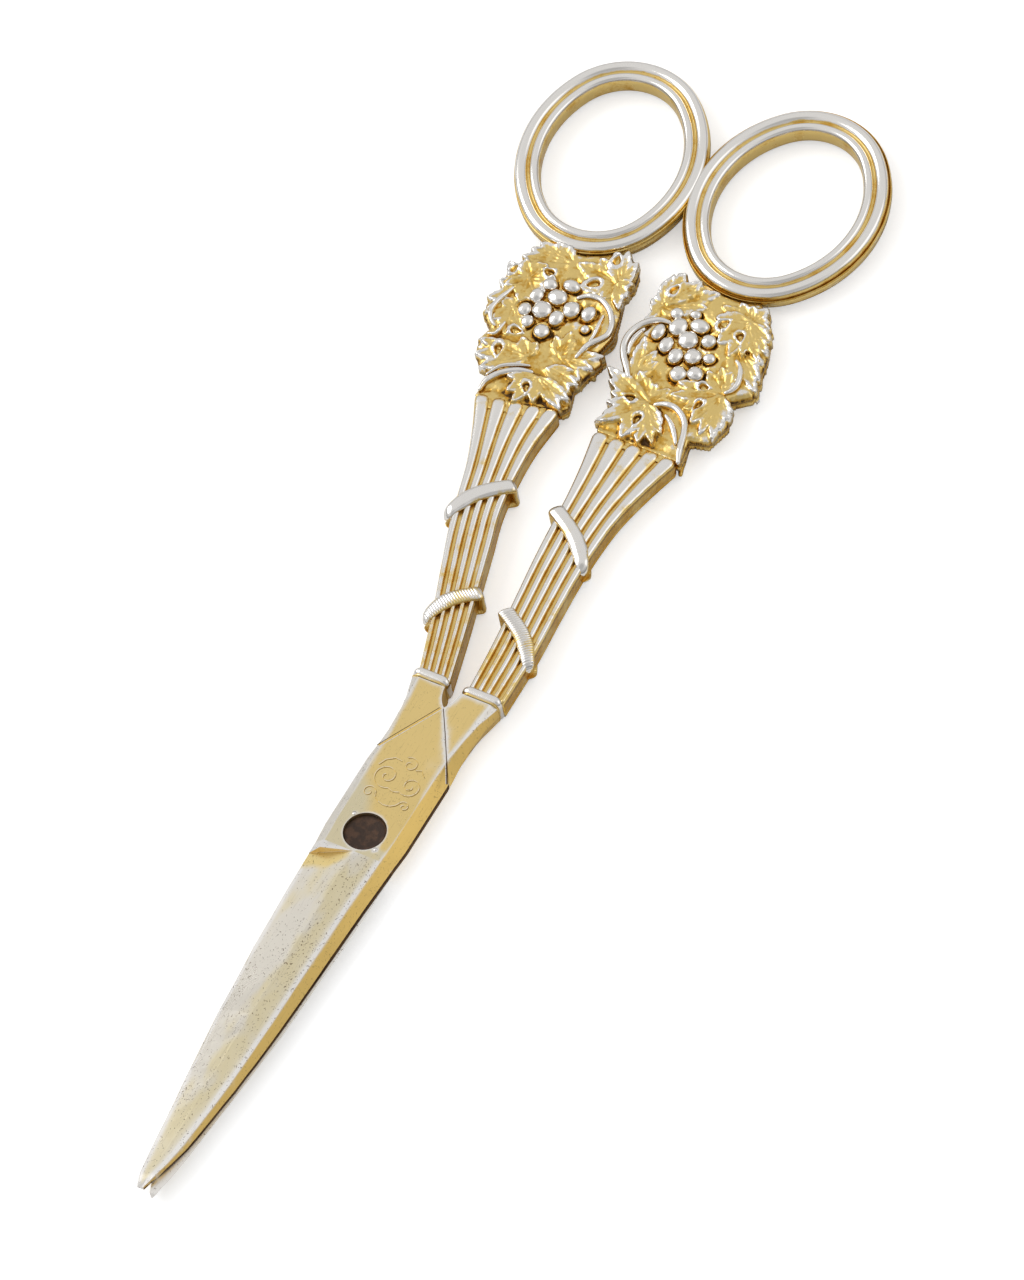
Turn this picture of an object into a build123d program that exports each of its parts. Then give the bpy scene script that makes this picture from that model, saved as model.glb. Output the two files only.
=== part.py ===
from build123d import *
import math
import os

# Grape shears, closed, lying on their back. The origin is on the pivot axis, in the plane they rest on.
# +X is to the right, +Y runs from the blade tips to the finger rings, and +Z is up.
# The front arm has the left handle and the upper blade. The rear arm has the right handle.
# Both arms are made face down and face up about one middle plane. All lengths are in millimetres.

# Heights above the resting plane
MIDDLE_HEIGHT = 2.0
LAP_THICKNESS = 1.75
LAP_CLEARANCE = 0.03
PANEL_HALF_THICKNESS = 0.85
OVERRUN = 6.0

# Blades
BLADE_LENGTH = 54.4
CHOIL_DISTANCE = 3.2
CHOIL_STEP = 1.7
BLADE_HALF_WIDTH = 5.6
RIDGE_OFFSET = 0.3
SPINE_TOP_WIDTH = 4.05
SPINE_FOOT_WIDTH = 5.65
TIP_DROP = 0.5
REAR_BLADE_LEAN = 1.2
# Each row: how far down the blade, then edge, ridge, spine top and spine foot as shares of their widths
BLADE_SHARES = (
    (0.00, 1.00, 0.30, 1.00, 1.00),
    (0.13, 0.98, 0.70, 0.93, 0.93),
    (0.31, 0.91, 1.00, 0.89, 0.86),
    (0.49, 0.82, 1.00, 0.85, 0.78),
    (0.68, 0.63, 1.10, 0.75, 0.66),
    (0.86, 0.42, 1.20, 0.43, 0.40),
    (0.96, 0.24, 0.60, 0.15, 0.16),
    (1.00, 0.13, -0.10, 0.03, 0.03),
)

# Lap plates and shanks
PLATE_LENGTH = 26.5
PLATE_TOP_WIDTH = 4.2
PLATE_FOOT_WIDTH = 5.9
SHOULDER_CLEARANCE = 0.06
CROTCH_DEPTH = 2.8
SHOULDER_WIDTH = 5.9
SHOULDER_FALL = 9.55
FACET_WIDTH = 0.95
FACET_DEPTH = 0.45
FACET_START_SHARE = 0.67
# Each row: how far up the plate, then the half width of the flat and of the foot of the bevel as shares
PLATE_SHARES = (
    (0.00, 0.965, 0.958),
    (0.12, 1.00, 1.00),
    (0.52, 1.01, 1.00),
    (0.65, 1.04, 0.95),
    (0.77, 1.13, 0.93),
    (0.88, 1.24, 0.97),
    (1.00, 1.46, 1.06),
)
FRONT_CROTCH_WIDTH = 1.4
REAR_CROTCH_WIDTH = 0.95
CROTCH_BEND_SHARE = 0.75

# Pivot rivet and its lock pins
RIVET_RADIUS = 2.8
RIVET_RUNNING_CLEARANCE = 0.05
RIVET_SEAT_CLEARANCE = 0.01
RIVET_SINK = 0.45
RIVET_HEAD_RADIUS = 3.4
RIVET_HEAD_THICKNESS = 0.8
LOCK_PIN_RADIUS = 0.27
LOCK_PIN_LENGTH = 1.0
LOCK_PIN_STAND = 0.04
LOCK_PIN_DISTANCE = 3.16
LOCK_PIN_BEARING = 144.0

# Collars
COLLAR_LENGTH = 1.6
COLLAR_STAND = 0.25
COLLAR_BEVEL = 1.0
# How the band swells: how far along it, then how far it stands out
COLLAR_SHARES = ((0.0, 0.0), (0.2, 0.75), (0.5, 1.0), (0.8, 0.75), (1.0, 0.0))

# Reeded stems
STEM_LENGTH = 40.0
STEM_HALF_THICKNESS = 1.6
REED_HEIGHT = 0.45
REED_BEVEL = 0.28
REED_COUNT = 5
REED_WIDTH_SHARE = 0.86
STEM_SIDE_INSET = 0.12
# The stem widths at the head, and how far sideways each centre line reaches
FRONT_STEM_WIDTH = 11.2
FRONT_STEM_REACH = 14.1
REAR_STEM_WIDTH = 11.4
REAR_STEM_REACH = 3.75
# Each row: how far up the stem, how far sideways, how wide, and the tilt of the row in degrees
FRONT_STEM_SHARES = (
    (0.00, 0.270, 0.41, 0),
    (0.18, 0.42, 0.435, 0),
    (0.50, 0.70, 0.50, 0),
    (0.63, 0.79, 0.525, 0),
    (0.75, 0.85, 0.59, 2),
    (0.88, 0.925, 0.75, 6),
    (1.00, 1.00, 1.00, 10),
)
REAR_STEM_SHARES = (
    (0.00, 1.00, 0.47, 0),
    (0.18, 0.89, 0.49, 0),
    (0.50, 0.54, 0.525, 0),
    (0.63, 0.47, 0.57, 0),
    (0.75, 0.50, 0.62, 0),
    (0.88, 0.57, 0.76, 0),
    (1.00, 0.69, 1.00, 0),
)
NOSE_LENGTH = 0.9
# How the end of a reed or a wrap closes: how far along it, then what is left of the width and the height
NOSE_SHARES = ((0.0, 1.0), (1.0, 0.6))

# Wraps
WRAP_WIDTH = 1.5
WRAP_STAND = 0.4
WRAP_OVERHANG = 0.35
WRAP_BOW = 0.5
WRAP_BEVEL = 0.3
# Stations along a wrap: how far along it, how far it bows, and how full it is
WRAP_STATIONS = ((0.0, 0.0, 0.7), (0.06, 0.22, 1.0), (0.35, 0.91, 1.0), (0.65, 0.91, 1.0), (1.0, 0.0, 0.9))
POST_SIDES = 8
# Where each wrap meets the outer and the inner edge of its stem, as shares of the stem length
LOWER_WRAP_SHARES = (0.18, 0.315)
UPPER_WRAP_SHARES = (0.555, 0.715)
REAR_LOWER_WRAP_SHARES = (0.14, 0.29)
REAR_UPPER_WRAP_SHARES = (0.535, 0.695)

# Vine heads
HEAD_HALF_WIDTH = 9.3
HEAD_HALF_LENGTH = 13.2
# How far the middle of each head lies from the end of its stem, as shares of the half width and half length
FRONT_HEAD_SHIFT_SHARES = (-0.247, 0.992)
REAR_HEAD_SHIFT_SHARES = (0.055, 1.008)
# Outlines of the heads, from the ring down the left side, across the stem and up the right side
FRONT_HEAD_SHARES = (
    (-0.66, 0.77), (-0.84, 0.67), (-0.89, 0.55), (-0.97, 0.41), (-0.98, 0.24), (-0.93, 0.14),
    (-1.00, -0.05), (-0.91, -0.20), (-0.76, -0.29), (-0.82, -0.44), (-0.72, -0.62), (-0.57, -0.73),
    (-0.42, -0.74), (-0.40, -1.06), (0.84, -0.87), (0.91, -0.80), (0.82, -0.58), (0.88, -0.39),
    (0.97, -0.20), (0.84, -0.11), (0.90, 0.10), (0.84, 0.28), (0.79, 0.40), (0.72, 0.54),
    (0.76, 0.70), (0.71, 0.87), (0.57, 0.98), (0.41, 0.99), (0.28, 0.93), (-0.17, 1.14),
)
REAR_HEAD_SHARES = (
    (-0.58, 0.96), (-0.73, 0.98), (-0.86, 0.93), (-0.94, 0.80), (-0.91, 0.66), (-0.96, 0.59),
    (-0.85, 0.52), (-0.89, 0.33), (-0.97, 0.15), (-0.95, -0.05), (-0.83, -0.22), (-0.97, -0.28),
    (-0.78, -0.48), (-0.66, -0.55), (-0.71, -0.67), (-0.72, -0.86), (-0.67, -0.95), (0.64, -0.95),
    (0.59, -0.68), (0.84, -0.63), (0.95, -0.36), (0.80, -0.12), (1.03, 0.03), (0.96, 0.27),
    (0.91, 0.47), (0.78, 0.72), (0.57, 0.95), (0.42, 1.01), (-0.05, 1.20),
)

# Vine leaves
LEAF_LENGTH = 6.6
LEAF_THICKNESS = 0.5
LEAF_STEP = 0.25
VEIN_WIDTH = 0.32
VEIN_STAND = 0.12
EYE_LENGTH = 0.95
EYE_WIDTH = 0.42
# One side of a leaf from its stalk to its tip
LEAF_SIDE_SHARES = (
    (0.05, 0.00), (0.32, -0.20), (0.62, 0.00), (0.66, 0.32), (0.42, 0.36), (0.42, 0.60), (0.00, 0.97),
)
# The tips that the veins run to, and a drop-shaped eye between two of them
VEIN_TIP_SHARES = ((-0.50, 0.30), (0.00, 0.84), (0.50, 0.30))
EYE_SHARES = (0.24, 0.30)
EYE_SIDE_SHARES = ((0.0, -1.0), (1.0, 0.35), (0.0, 1.0), (-1.0, 0.35))
EYE_TURN = 35
# Each leaf: place of its stalk across and up the head, heading in degrees, size, and layer
FRONT_LEAF_SHARES = (
    (0.48, 0.54, 100, 0.95, 0),
    (0.52, 0.61, -5, 0.87, 1),
    (0.53, 0.53, -140, 0.60, 0),
    (-0.33, 0.57, 70, 0.83, 1),
    (-0.45, 0.30, 82, 0.90, 0),
    (-0.63, 0.11, 150, 0.78, 1),
    (0.04, -0.41, 60, 0.78, 0),
    (-0.23, -0.39, 120, 0.92, 1),
    (0.30, -0.30, -8, 0.62, 0),
    (0.44, -0.42, -66, 0.82, 0),
    (0.30, -0.56, 186, 0.95, 1),
)
REAR_LEAF_SHARES = (
    (-0.80, 0.55, -44, 1.02, 0),
    (-0.83, 0.56, 4, 0.90, 1),
    (0.46, 0.71, 43, 0.62, 0),
    (0.46, 0.71, 132, 0.82, 0),
    (0.46, 0.71, -131, 0.92, 1),
    (0.69, 0.36, -140, 0.78, 0),
    (0.72, -0.08, 32, 0.64, 1),
    (0.66, -0.11, 106, 1.00, 0),
    (0.66, -0.11, 183, 0.95, 1),
    (-0.24, -0.47, 71, 1.04, 0),
    (-0.18, -0.45, 12, 0.60, 1),
    (-0.20, -0.49, 173, 0.98, 1),
)

# Shoots
SHOOT_WIDTH = 0.95
SHOOT_STAND = 1.05
SHOOT_STATIONS = 6
# How wide a shoot is at its ends, and over how much of its length it thins
SHOOT_END_SHARE = 0.5
SHOOT_TAPER_SHARE = 0.3
# Routes of the shoots over each head
FRONT_SHOOT_SHARES = (
    ((0.18, 0.30), (0.40, 0.39), (0.70, 0.32), (0.84, 0.12), (0.76, -0.06), (0.62, -0.26)),
    ((-0.73, 0.08), (-0.80, -0.14), (-0.68, -0.28), (-0.52, -0.33)),
    ((-0.36, -0.98), (-0.32, -0.80), (-0.14, -0.66), (0.16, -0.58)),
)
REAR_SHOOT_SHARES = (
    ((-0.52, 0.40), (-0.72, 0.40), (-0.92, 0.18), (-0.92, -0.02), (-0.78, -0.18), (-0.62, -0.27)),
    ((0.55, 0.29), (0.74, 0.14), (0.80, 0.00), (0.68, -0.10)),
    ((-0.12, -0.46), (0.14, -0.40), (0.42, -0.50), (0.56, -0.74), (0.62, -0.90)),
)

# Grapes
GRAPE_RADIUS = 1.0
BUNCH_REACH = 5.0
BUNCH_MARGIN = 0.1
GRAPE_SIDES = 8
# The round of a grape in bands: height, width of the foot and width of the top, as shares of the radius
GRAPE_BAND_SHARES = ((0.7, 1.0, 0.9), (0.45, 0.9, 0.4))
FRONT_BUNCH_SHARES = (-0.02, 0.12)
REAR_BUNCH_SHARES = (-0.20, 0.23)
# Each grape: place across and up the bunch, and its size
FRONT_GRAPE_SHARES = (
    (0.08, 0.72, 0.95), (-0.42, 0.56, 0.85), (-0.08, 0.30, 1.10), (0.46, 0.12, 0.98),
    (0.92, 0.12, 0.85), (-0.56, 0.12, 0.88), (-0.26, -0.20, 1.08), (0.18, -0.28, 0.92),
    (-0.70, -0.38, 0.76), (-0.42, -0.64, 0.76), (0.06, -0.76, 0.92),
)
REAR_GRAPE_SHARES = (
    (-0.58, 0.75, 0.72), (-0.12, 0.94, 0.74), (0.17, 0.62, 1.02), (-0.36, 0.44, 1.02),
    (0.58, 0.36, 0.88), (0.06, 0.16, 1.10), (-0.76, 0.12, 0.80), (-0.40, -0.14, 0.88),
    (0.00, -0.36, 0.88), (0.42, -0.20, 1.02), (0.86, -0.08, 0.70), (0.70, -0.64, 0.92),
    (0.30, -0.80, 0.94),
)

# Finger rings, about the line of the groove
RING_HALF_WIDTH = 10.45
RING_HALF_LENGTH = 13.1
RING_END_RADIUS = 9.0
RING_WALL = 1.45
RING_HALF_THICKNESS = 1.5
RING_GROOVE = 0.42
RING_SHOULDER = 0.7
RING_SIDE_GROOVE = 0.2
RING_SEAT_CLEARANCE = 0.02
# The crown of a bead, inner and outer edge, as shares of the wall
RING_CROWN_SHARES = (0.3, 0.75)
# How many degrees of the oval's arcs one facet covers
RING_FACET = 12.0
# The point of each head that its ring stands on, and the lean of the ring in degrees
FRONT_RING_FOOT_SHARES = (-0.255, 0.823)
FRONT_RING_LEAN = 12.0
REAR_RING_FOOT_SHARES = (-0.081, 0.966)
REAR_RING_LEAN = -1.0

# Heights and distances that follow from the sizes above
LAP_FLOOR = MIDDLE_HEIGHT + LAP_CLEARANCE
PLATE_TOP = MIDDLE_HEIGHT + LAP_THICKNESS
PLATE_BACK = MIDDLE_HEIGHT - LAP_THICKNESS
PANEL_TOP = MIDDLE_HEIGHT + PANEL_HALF_THICKNESS
SLAB_HALF_THICKNESS = STEM_HALF_THICKNESS - REED_HEIGHT
COLLAR_START = PLATE_LENGTH - CHOIL_DISTANCE
CROTCH_DISTANCE = COLLAR_START - CROTCH_DEPTH
STEM_START = COLLAR_START + COLLAR_LENGTH


def prism(points, low, high):
    """A flat outline raised from one height to another."""
    face = make_face(Polyline(*points, close=True))
    return Pos(0, 0, low) * extrude(face, amount=high - low)


def section(along, corners):
    """A cross-section square to Y, its corners given as X and Z."""
    return make_face(Polyline(*[(across, along, up) for across, up in corners], close=True))


def turned_over(shape):
    """The shape turned about Y in the middle plane, as the rear arm is to the front arm."""
    return Pos(0, 0, 2 * MIDDLE_HEIGHT) * Rot(0, 180, 0) * shape


def mirrored_low(shape):
    """The shape reflected in the middle plane."""
    return mirror(shape, about=Plane.XY.offset(MIDDLE_HEIGHT))


def bevelled_bar(stations, bevel):
    """A bar through stations that each give its place, its half width as a level vector, and its height."""
    sections = []
    for place, half, height in stations:
        inner = half - half.normalized() * bevel
        crown = Vector(0, 0, height)
        corners = (place - half, place - inner + crown, place + inner + crown, place + half)
        sections.append(make_face(Polyline(*corners, close=True)))
    return loft(sections, ruled=True)


# Blade, plate and shank
def blade(lean):
    """The tapering blade: flat at the lap, with a ridge, a ground face and a bevelled spine."""
    sections = []
    for down, edge, ridge, spine_top, spine_foot in BLADE_SHARES:
        along = -CHOIL_DISTANCE - down * BLADE_LENGTH
        shift = -down * BLADE_LENGTH * math.tan(math.radians(lean))
        top = PLATE_TOP - (TIP_DROP if down == 1 else 0)
        corners = (
            (shift - edge * BLADE_HALF_WIDTH, LAP_FLOOR),
            (shift + ridge * RIDGE_OFFSET, top),
            (shift + spine_top * SPINE_TOP_WIDTH, top),
            (shift + spine_foot * SPINE_FOOT_WIDTH, LAP_FLOOR),
        )
        sections.append(section(along, corners))
    return loft(sections, ruled=True)


def plate_loft(low, high):
    """The bevelled bar that the plate and the shank are cut from, its foot low and its flat high."""
    sections = []
    for up, top_share, foot_share in PLATE_SHARES:
        top = top_share * PLATE_TOP_WIDTH
        foot = foot_share * PLATE_FOOT_WIDTH
        corners = ((-foot, low), (-top, high), (top, high), (foot, low))
        sections.append(section(up * PLATE_LENGTH - CHOIL_DISTANCE, corners))
    return loft(sections, ruled=True)


def choil():
    """The stepped ledge above the cutting edge, deepest at the outer side."""
    top = PLATE_SHARES[0][1] * PLATE_TOP_WIDTH
    foot = PLATE_SHARES[0][2] * PLATE_FOOT_WIDTH
    corners = ((-foot, LAP_FLOOR), (-top, PLATE_TOP), (top, PLATE_TOP), (foot, LAP_FLOOR))
    start = -CHOIL_DISTANCE
    bar = loft([section(start - OVERRUN, corners), section(start, corners)], ruled=True)
    wedge = prism(((0, start), (-foot, start), (-foot, start - CHOIL_STEP)), LAP_FLOOR, PLATE_TOP)
    return bar & wedge


def shoulder_cut(side, clearance):
    """The space beyond the slanting shoulder on one side of the plate."""
    reach = OVERRUN / SHOULDER_WIDTH
    foot_across = SHOULDER_WIDTH * (1 + reach)
    foot_along = CROTCH_DISTANCE - SHOULDER_FALL * (1 + reach)
    points = (
        (0, CROTCH_DISTANCE - clearance),
        (side * foot_across, foot_along - clearance),
        (side * foot_across, CROTCH_DISTANCE + OVERRUN),
        (0, CROTCH_DISTANCE + OVERRUN),
    )
    return prism(points, -OVERRUN, PLATE_TOP + OVERRUN)


def crotch_cut(crotch_width):
    """The space between the shanks, curving from the crotch to the inner end of the collar."""
    collar = COLLAR_START
    middle = (CROTCH_DISTANCE + collar) / 2
    bend = CROTCH_BEND_SHARE * crotch_width
    top = collar + OVERRUN
    curve = Spline((0, CROTCH_DISTANCE), (-bend, middle), (-crotch_width, collar), (-crotch_width, top))
    far = PLATE_FOOT_WIDTH + OVERRUN
    edge = Polyline(curve @ 1, (far, top), (far, CROTCH_DISTANCE), curve @ 0)
    return Pos(0, 0, -OVERRUN) * extrude(make_face(curve + edge), amount=PLATE_TOP + 2 * OVERRUN)


def shank_facet():
    """The half space that takes the narrow facet off the outer corner of the shank."""
    top_share = PLATE_SHARES[-1][1]
    start = FACET_START_SHARE * PLATE_LENGTH - CHOIL_DISTANCE
    outer = top_share * PLATE_TOP_WIDTH
    first = Vector(-PLATE_SHARES[3][1] * PLATE_TOP_WIDTH, start, PLATE_TOP)
    second = Vector(FACET_WIDTH - outer, COLLAR_START, PLATE_TOP)
    third = Vector(-outer, COLLAR_START, PLATE_TOP - FACET_DEPTH)
    normal = (second - first).cross(third - first).normalized()
    if normal.Z < 0:
        normal = normal * -1
    plane = Plane(origin=first, z_dir=normal)
    return plane * Box(4 * OVERRUN, 4 * OVERRUN, OVERRUN, align=(Align.CENTER, Align.CENTER, Align.MIN))


def arm_blank(lean, crotch_width):
    """One forging as the front arm holds it: blade, upper lap, and full-thickness shank on the left."""
    upper = plate_loft(LAP_FLOOR, PLATE_TOP) + blade(lean) + choil()
    upper = upper - shoulder_cut(1, SHOULDER_CLEARANCE)
    lower = plate_loft(LAP_FLOOR, PLATE_BACK) & shoulder_cut(-1, 0)
    facet = shank_facet()
    blank = upper + lower
    blank = blank - crotch_cut(crotch_width)
    return blank - facet - mirrored_low(facet)


def front_blade():
    """The front forging with the seat of the rivet and the holes of the lock pins."""
    seat = Cylinder(RIVET_RADIUS + RIVET_SEAT_CLEARANCE, 2 * OVERRUN)
    pins = lock_pin_pair(LOCK_PIN_RADIUS + RIVET_SEAT_CLEARANCE)
    return arm_blank(0, FRONT_CROTCH_WIDTH) - seat - pins


def rear_blade():
    """The rear forging with the running bore of the rivet and the recess for its head."""
    blank = turned_over(arm_blank(REAR_BLADE_LEAN, REAR_CROTCH_WIDTH))
    bore = Cylinder(RIVET_RADIUS + RIVET_RUNNING_CLEARANCE, 2 * OVERRUN)
    recess = Cylinder(RIVET_HEAD_RADIUS + RIVET_RUNNING_CLEARANCE, RIVET_HEAD_THICKNESS + LAP_CLEARANCE,
                      align=(Align.CENTER, Align.CENTER, Align.MIN))
    return blank - bore - recess


# Pivot
def pivot_rivet():
    """The steel rivet: a flat head at the back, and a plain end sunk in the front plate."""
    length = PLATE_TOP - RIVET_SINK
    shank = Cylinder(RIVET_RADIUS, length, align=(Align.CENTER, Align.CENTER, Align.MIN))
    head = Cylinder(RIVET_HEAD_RADIUS, RIVET_HEAD_THICKNESS, align=(Align.CENTER, Align.CENTER, Align.MIN))
    return shank + head


def lock_pin_pair(radius):
    """Two small upright pins on opposite sides of the rivet, let into the front plate."""
    pin = Cylinder(radius, LOCK_PIN_LENGTH, align=(Align.CENTER, Align.CENTER, Align.MAX))
    pair = []
    for bearing in (LOCK_PIN_BEARING, LOCK_PIN_BEARING + 180):
        turn = Rot(0, 0, bearing) * Pos(LOCK_PIN_DISTANCE, 0, PLATE_TOP + LOCK_PIN_STAND)
        pair.append(turn * pin)
    return Compound(children=pair)


# Collar
def collar(side, crotch_width):
    """A half-round band round the end of the shank."""
    inner = crotch_width - COLLAR_STAND
    outer = PLATE_SHARES[-1][1] * PLATE_TOP_WIDTH + COLLAR_STAND
    middle = side * (inner + outer) / 2
    sections = []
    for along_share, stand_share in COLLAR_SHARES:
        shrink = COLLAR_STAND * (1 - stand_share)
        half = (outer - inner) / 2 - shrink
        rise = LAP_THICKNESS + COLLAR_STAND - shrink
        flat = half - COLLAR_BEVEL
        side_rise = rise - COLLAR_BEVEL
        corners = [(flat, rise), (half, side_rise), (half, -side_rise), (flat, -rise)]
        corners = corners + [(-across, up) for across, up in reversed(corners)]
        corners = [(middle + across, MIDDLE_HEIGHT + up) for across, up in corners]
        sections.append(section(COLLAR_START + along_share * COLLAR_LENGTH, corners))
    return loft(sections, ruled=True)


# Stems
class Arm:
    """What differs between the two handles: side, stem, head, ring."""

    def __init__(self, side, crotch, stem, wraps, head, ring):
        self.side = side
        self.crotch = crotch
        self.stem_width, self.stem_reach, self.stem_shares = stem
        self.lower_wrap, self.upper_wrap = wraps
        self.head_shift, self.head_shares, self.leaves, self.shoots, self.bunch, self.grapes = head
        self.ring_foot, self.ring_lean = ring


FRONT = Arm(
    -1,
    FRONT_CROTCH_WIDTH,
    (FRONT_STEM_WIDTH, FRONT_STEM_REACH, FRONT_STEM_SHARES),
    (LOWER_WRAP_SHARES, UPPER_WRAP_SHARES),
    (FRONT_HEAD_SHIFT_SHARES, FRONT_HEAD_SHARES, FRONT_LEAF_SHARES, FRONT_SHOOT_SHARES,
     FRONT_BUNCH_SHARES, FRONT_GRAPE_SHARES),
    (FRONT_RING_FOOT_SHARES, FRONT_RING_LEAN),
)
REAR = Arm(
    1,
    REAR_CROTCH_WIDTH,
    (REAR_STEM_WIDTH, REAR_STEM_REACH, REAR_STEM_SHARES),
    (REAR_LOWER_WRAP_SHARES, REAR_UPPER_WRAP_SHARES),
    (REAR_HEAD_SHIFT_SHARES, REAR_HEAD_SHARES, REAR_LEAF_SHARES, REAR_SHOOT_SHARES,
     REAR_BUNCH_SHARES, REAR_GRAPE_SHARES),
    (REAR_RING_FOOT_SHARES, REAR_RING_LEAN),
)


def stem_row(arm, row):
    """The centre and the two ends of one row across the stem."""
    up, reach, width, tilt = row
    centre = Vector(arm.side * reach * arm.stem_reach, STEM_START + up * STEM_LENGTH, 0)
    angle = math.radians(tilt)
    half = Vector(math.cos(angle), math.sin(angle), 0) * (width * arm.stem_width / 2)
    return centre, centre - half, centre + half


def stem_point(arm, up, across):
    """A point at a share of the stem's length and, from -1 to 1, of its width."""
    rows = arm.stem_shares
    for low, high in zip(rows, rows[1:]):
        if up <= high[0]:
            break
    part = (up - low[0]) / (high[0] - low[0])
    row = [one + part * (two - one) for one, two in zip(low, high)]
    centre, left, right = stem_row(arm, row)
    return centre + (right - left) * (across / 2)


def stem_slab(arm):
    """The flat core of the stem, between the reeds of its face and of its back."""
    lefts = []
    rights = []
    for row in arm.stem_shares:
        centre, left, right = stem_row(arm, row)
        inset = (right - left).normalized() * STEM_SIDE_INSET
        lefts.append(left + inset)
        rights.append(right - inset)
    outline = [*lefts, *reversed(rights)]
    return prism(outline, MIDDLE_HEIGHT - SLAB_HALF_THICKNESS, MIDDLE_HEIGHT + SLAB_HALF_THICKNESS)


def reed(arm, number):
    """One reed of the face of the stem, ending in a rounded nose at the head."""
    lane = (2 * number + 1) / REED_COUNT - 1
    foot = Vector(0, 0, MIDDLE_HEIGHT + SLAB_HALF_THICKNESS)
    stations = []
    for row in arm.stem_shares:
        centre, left, right = stem_row(arm, row)
        half = (right - left) * (REED_WIDTH_SHARE / REED_COUNT / 2)
        stations.append((centre + (right - left) * (lane / 2) + foot, half, REED_HEIGHT))
    end, half, height = stations.pop()
    along = (end - stations[-1][0]).normalized()
    for far, left in NOSE_SHARES:
        stations.append((end - along * (NOSE_LENGTH * (1 - far)), half * left, height * left))
    return bevelled_bar(stations, REED_BEVEL)


def wrap(arm, ends):
    """A band that rises over the inner side of the stem and slants across its face and its back."""
    outer_up, inner_up = ends
    outer = stem_point(arm, outer_up, arm.side)
    inner = stem_point(arm, inner_up, -arm.side)
    line = (inner - outer).normalized()
    outer = outer - line * WRAP_OVERHANG
    span = (inner - outer) + line * (WRAP_WIDTH / 2)
    square = Vector(line.Y, -line.X, 0)
    foot = Vector(0, 0, MIDDLE_HEIGHT + SLAB_HALF_THICKNESS)
    height = STEM_HALF_THICKNESS + WRAP_STAND - SLAB_HALF_THICKNESS
    stations = []
    for far, bend, full in WRAP_STATIONS:
        place = outer + span * far + square * (arm.side * WRAP_BOW * bend) + foot
        stations.append((place, square * (WRAP_WIDTH / 2 * full), height * full))
    limb = bevelled_bar(stations, WRAP_BEVEL)
    post = extrude(RegularPolygon(WRAP_WIDTH / 2, POST_SIDES), amount=2 * SLAB_HALF_THICKNESS)
    post = Pos(inner.X, inner.Y, MIDDLE_HEIGHT - SLAB_HALF_THICKNESS) * post
    return limb + mirrored_low(limb) + (post - stem_slab(arm))


def reeded_stem(arm, wraps):
    """The slab with its reeds, front and back, ended square at the collar and let in for the wraps."""
    reeds = [reed(arm, number) for number in range(REED_COUNT)]
    stem = stem_slab(arm)
    for one in reeds:
        stem = stem + one + mirrored_low(one)
    far = arm.stem_reach + arm.stem_width
    below = prism(((-far, STEM_START - OVERRUN), (far, STEM_START - OVERRUN), (far, STEM_START),
                   (-far, STEM_START)), -OVERRUN, PLATE_TOP + OVERRUN)
    stem = stem - below
    for band in wraps:
        stem = stem - band
    return stem


# Vine heads
def head_point(arm, across, up):
    """A place on the head, from shares of its half width and half length about its middle."""
    stem_end = stem_row(arm, arm.stem_shares[-1])[0]
    shift_across, shift_up = arm.head_shift
    sideways = (across + shift_across) * HEAD_HALF_WIDTH
    along = (up + shift_up) * HEAD_HALF_LENGTH
    return stem_end + Vector(sideways, along, 0)


def stem_end_cut(arm):
    """The space of the stem below its last row, which the head stands clear of."""
    centre, left, right = stem_row(arm, arm.stem_shares[-1])
    out = (right - left).normalized() * OVERRUN
    down = Vector(0, -2 * OVERRUN, 0)
    points = (left - out, right + out, right + out + down, left - out + down)
    return prism(points, -OVERRUN, PLATE_TOP + OVERRUN)


def head_blank(arm, low, high):
    """The leafy outline of the head, hollowed to seat the ring and ended square at the stem."""
    points = [head_point(arm, across, up) for across, up in arm.head_shares]
    seat = ring_place(arm) * ring_disc(RING_SEAT_CLEARANCE)
    return prism(points, low, high) - seat - stem_end_cut(arm)


def leaf_outline(size):
    """The five-lobed, toothed outline of a vine leaf, its stalk at the origin and its tip along +Y."""
    right = [(across * size, up * size) for across, up in LEAF_SIDE_SHARES]
    left = [(-across, up) for across, up in reversed(right[:-1])]
    return make_face(Polyline(*right, *left, close=True))


def vein_star(size):
    """Narrow raised veins that run from the stalk to the lobes."""
    veins = None
    for across, up in VEIN_TIP_SHARES:
        tip = Vector(across * size, up * size, 0)
        side = Vector(-tip.Y, tip.X, 0).normalized() * (VEIN_WIDTH / 2)
        vein = make_face(Polyline(side, tip, side * -1, close=True))
        veins = vein if veins is None else veins + vein
    return veins


def leaf(size, thick):
    """A vine leaf with raised veins and a drop-shaped eye."""
    body = extrude(leaf_outline(size), amount=thick)
    veins = extrude(vein_star(size), amount=thick + VEIN_STAND)
    drop = [(across * EYE_WIDTH, up * EYE_LENGTH) for across, up in EYE_SIDE_SHARES]
    eye = prism(drop, thick / 2, thick + OVERRUN)
    across, up = EYE_SHARES
    eye = Pos(across * size, up * size, 0) * Rot(0, 0, -EYE_TURN) * eye
    return body - eye + veins


def plain_leaf(size, thick):
    """A vine leaf left flat."""
    return extrude(leaf_outline(size), amount=thick)


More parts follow.
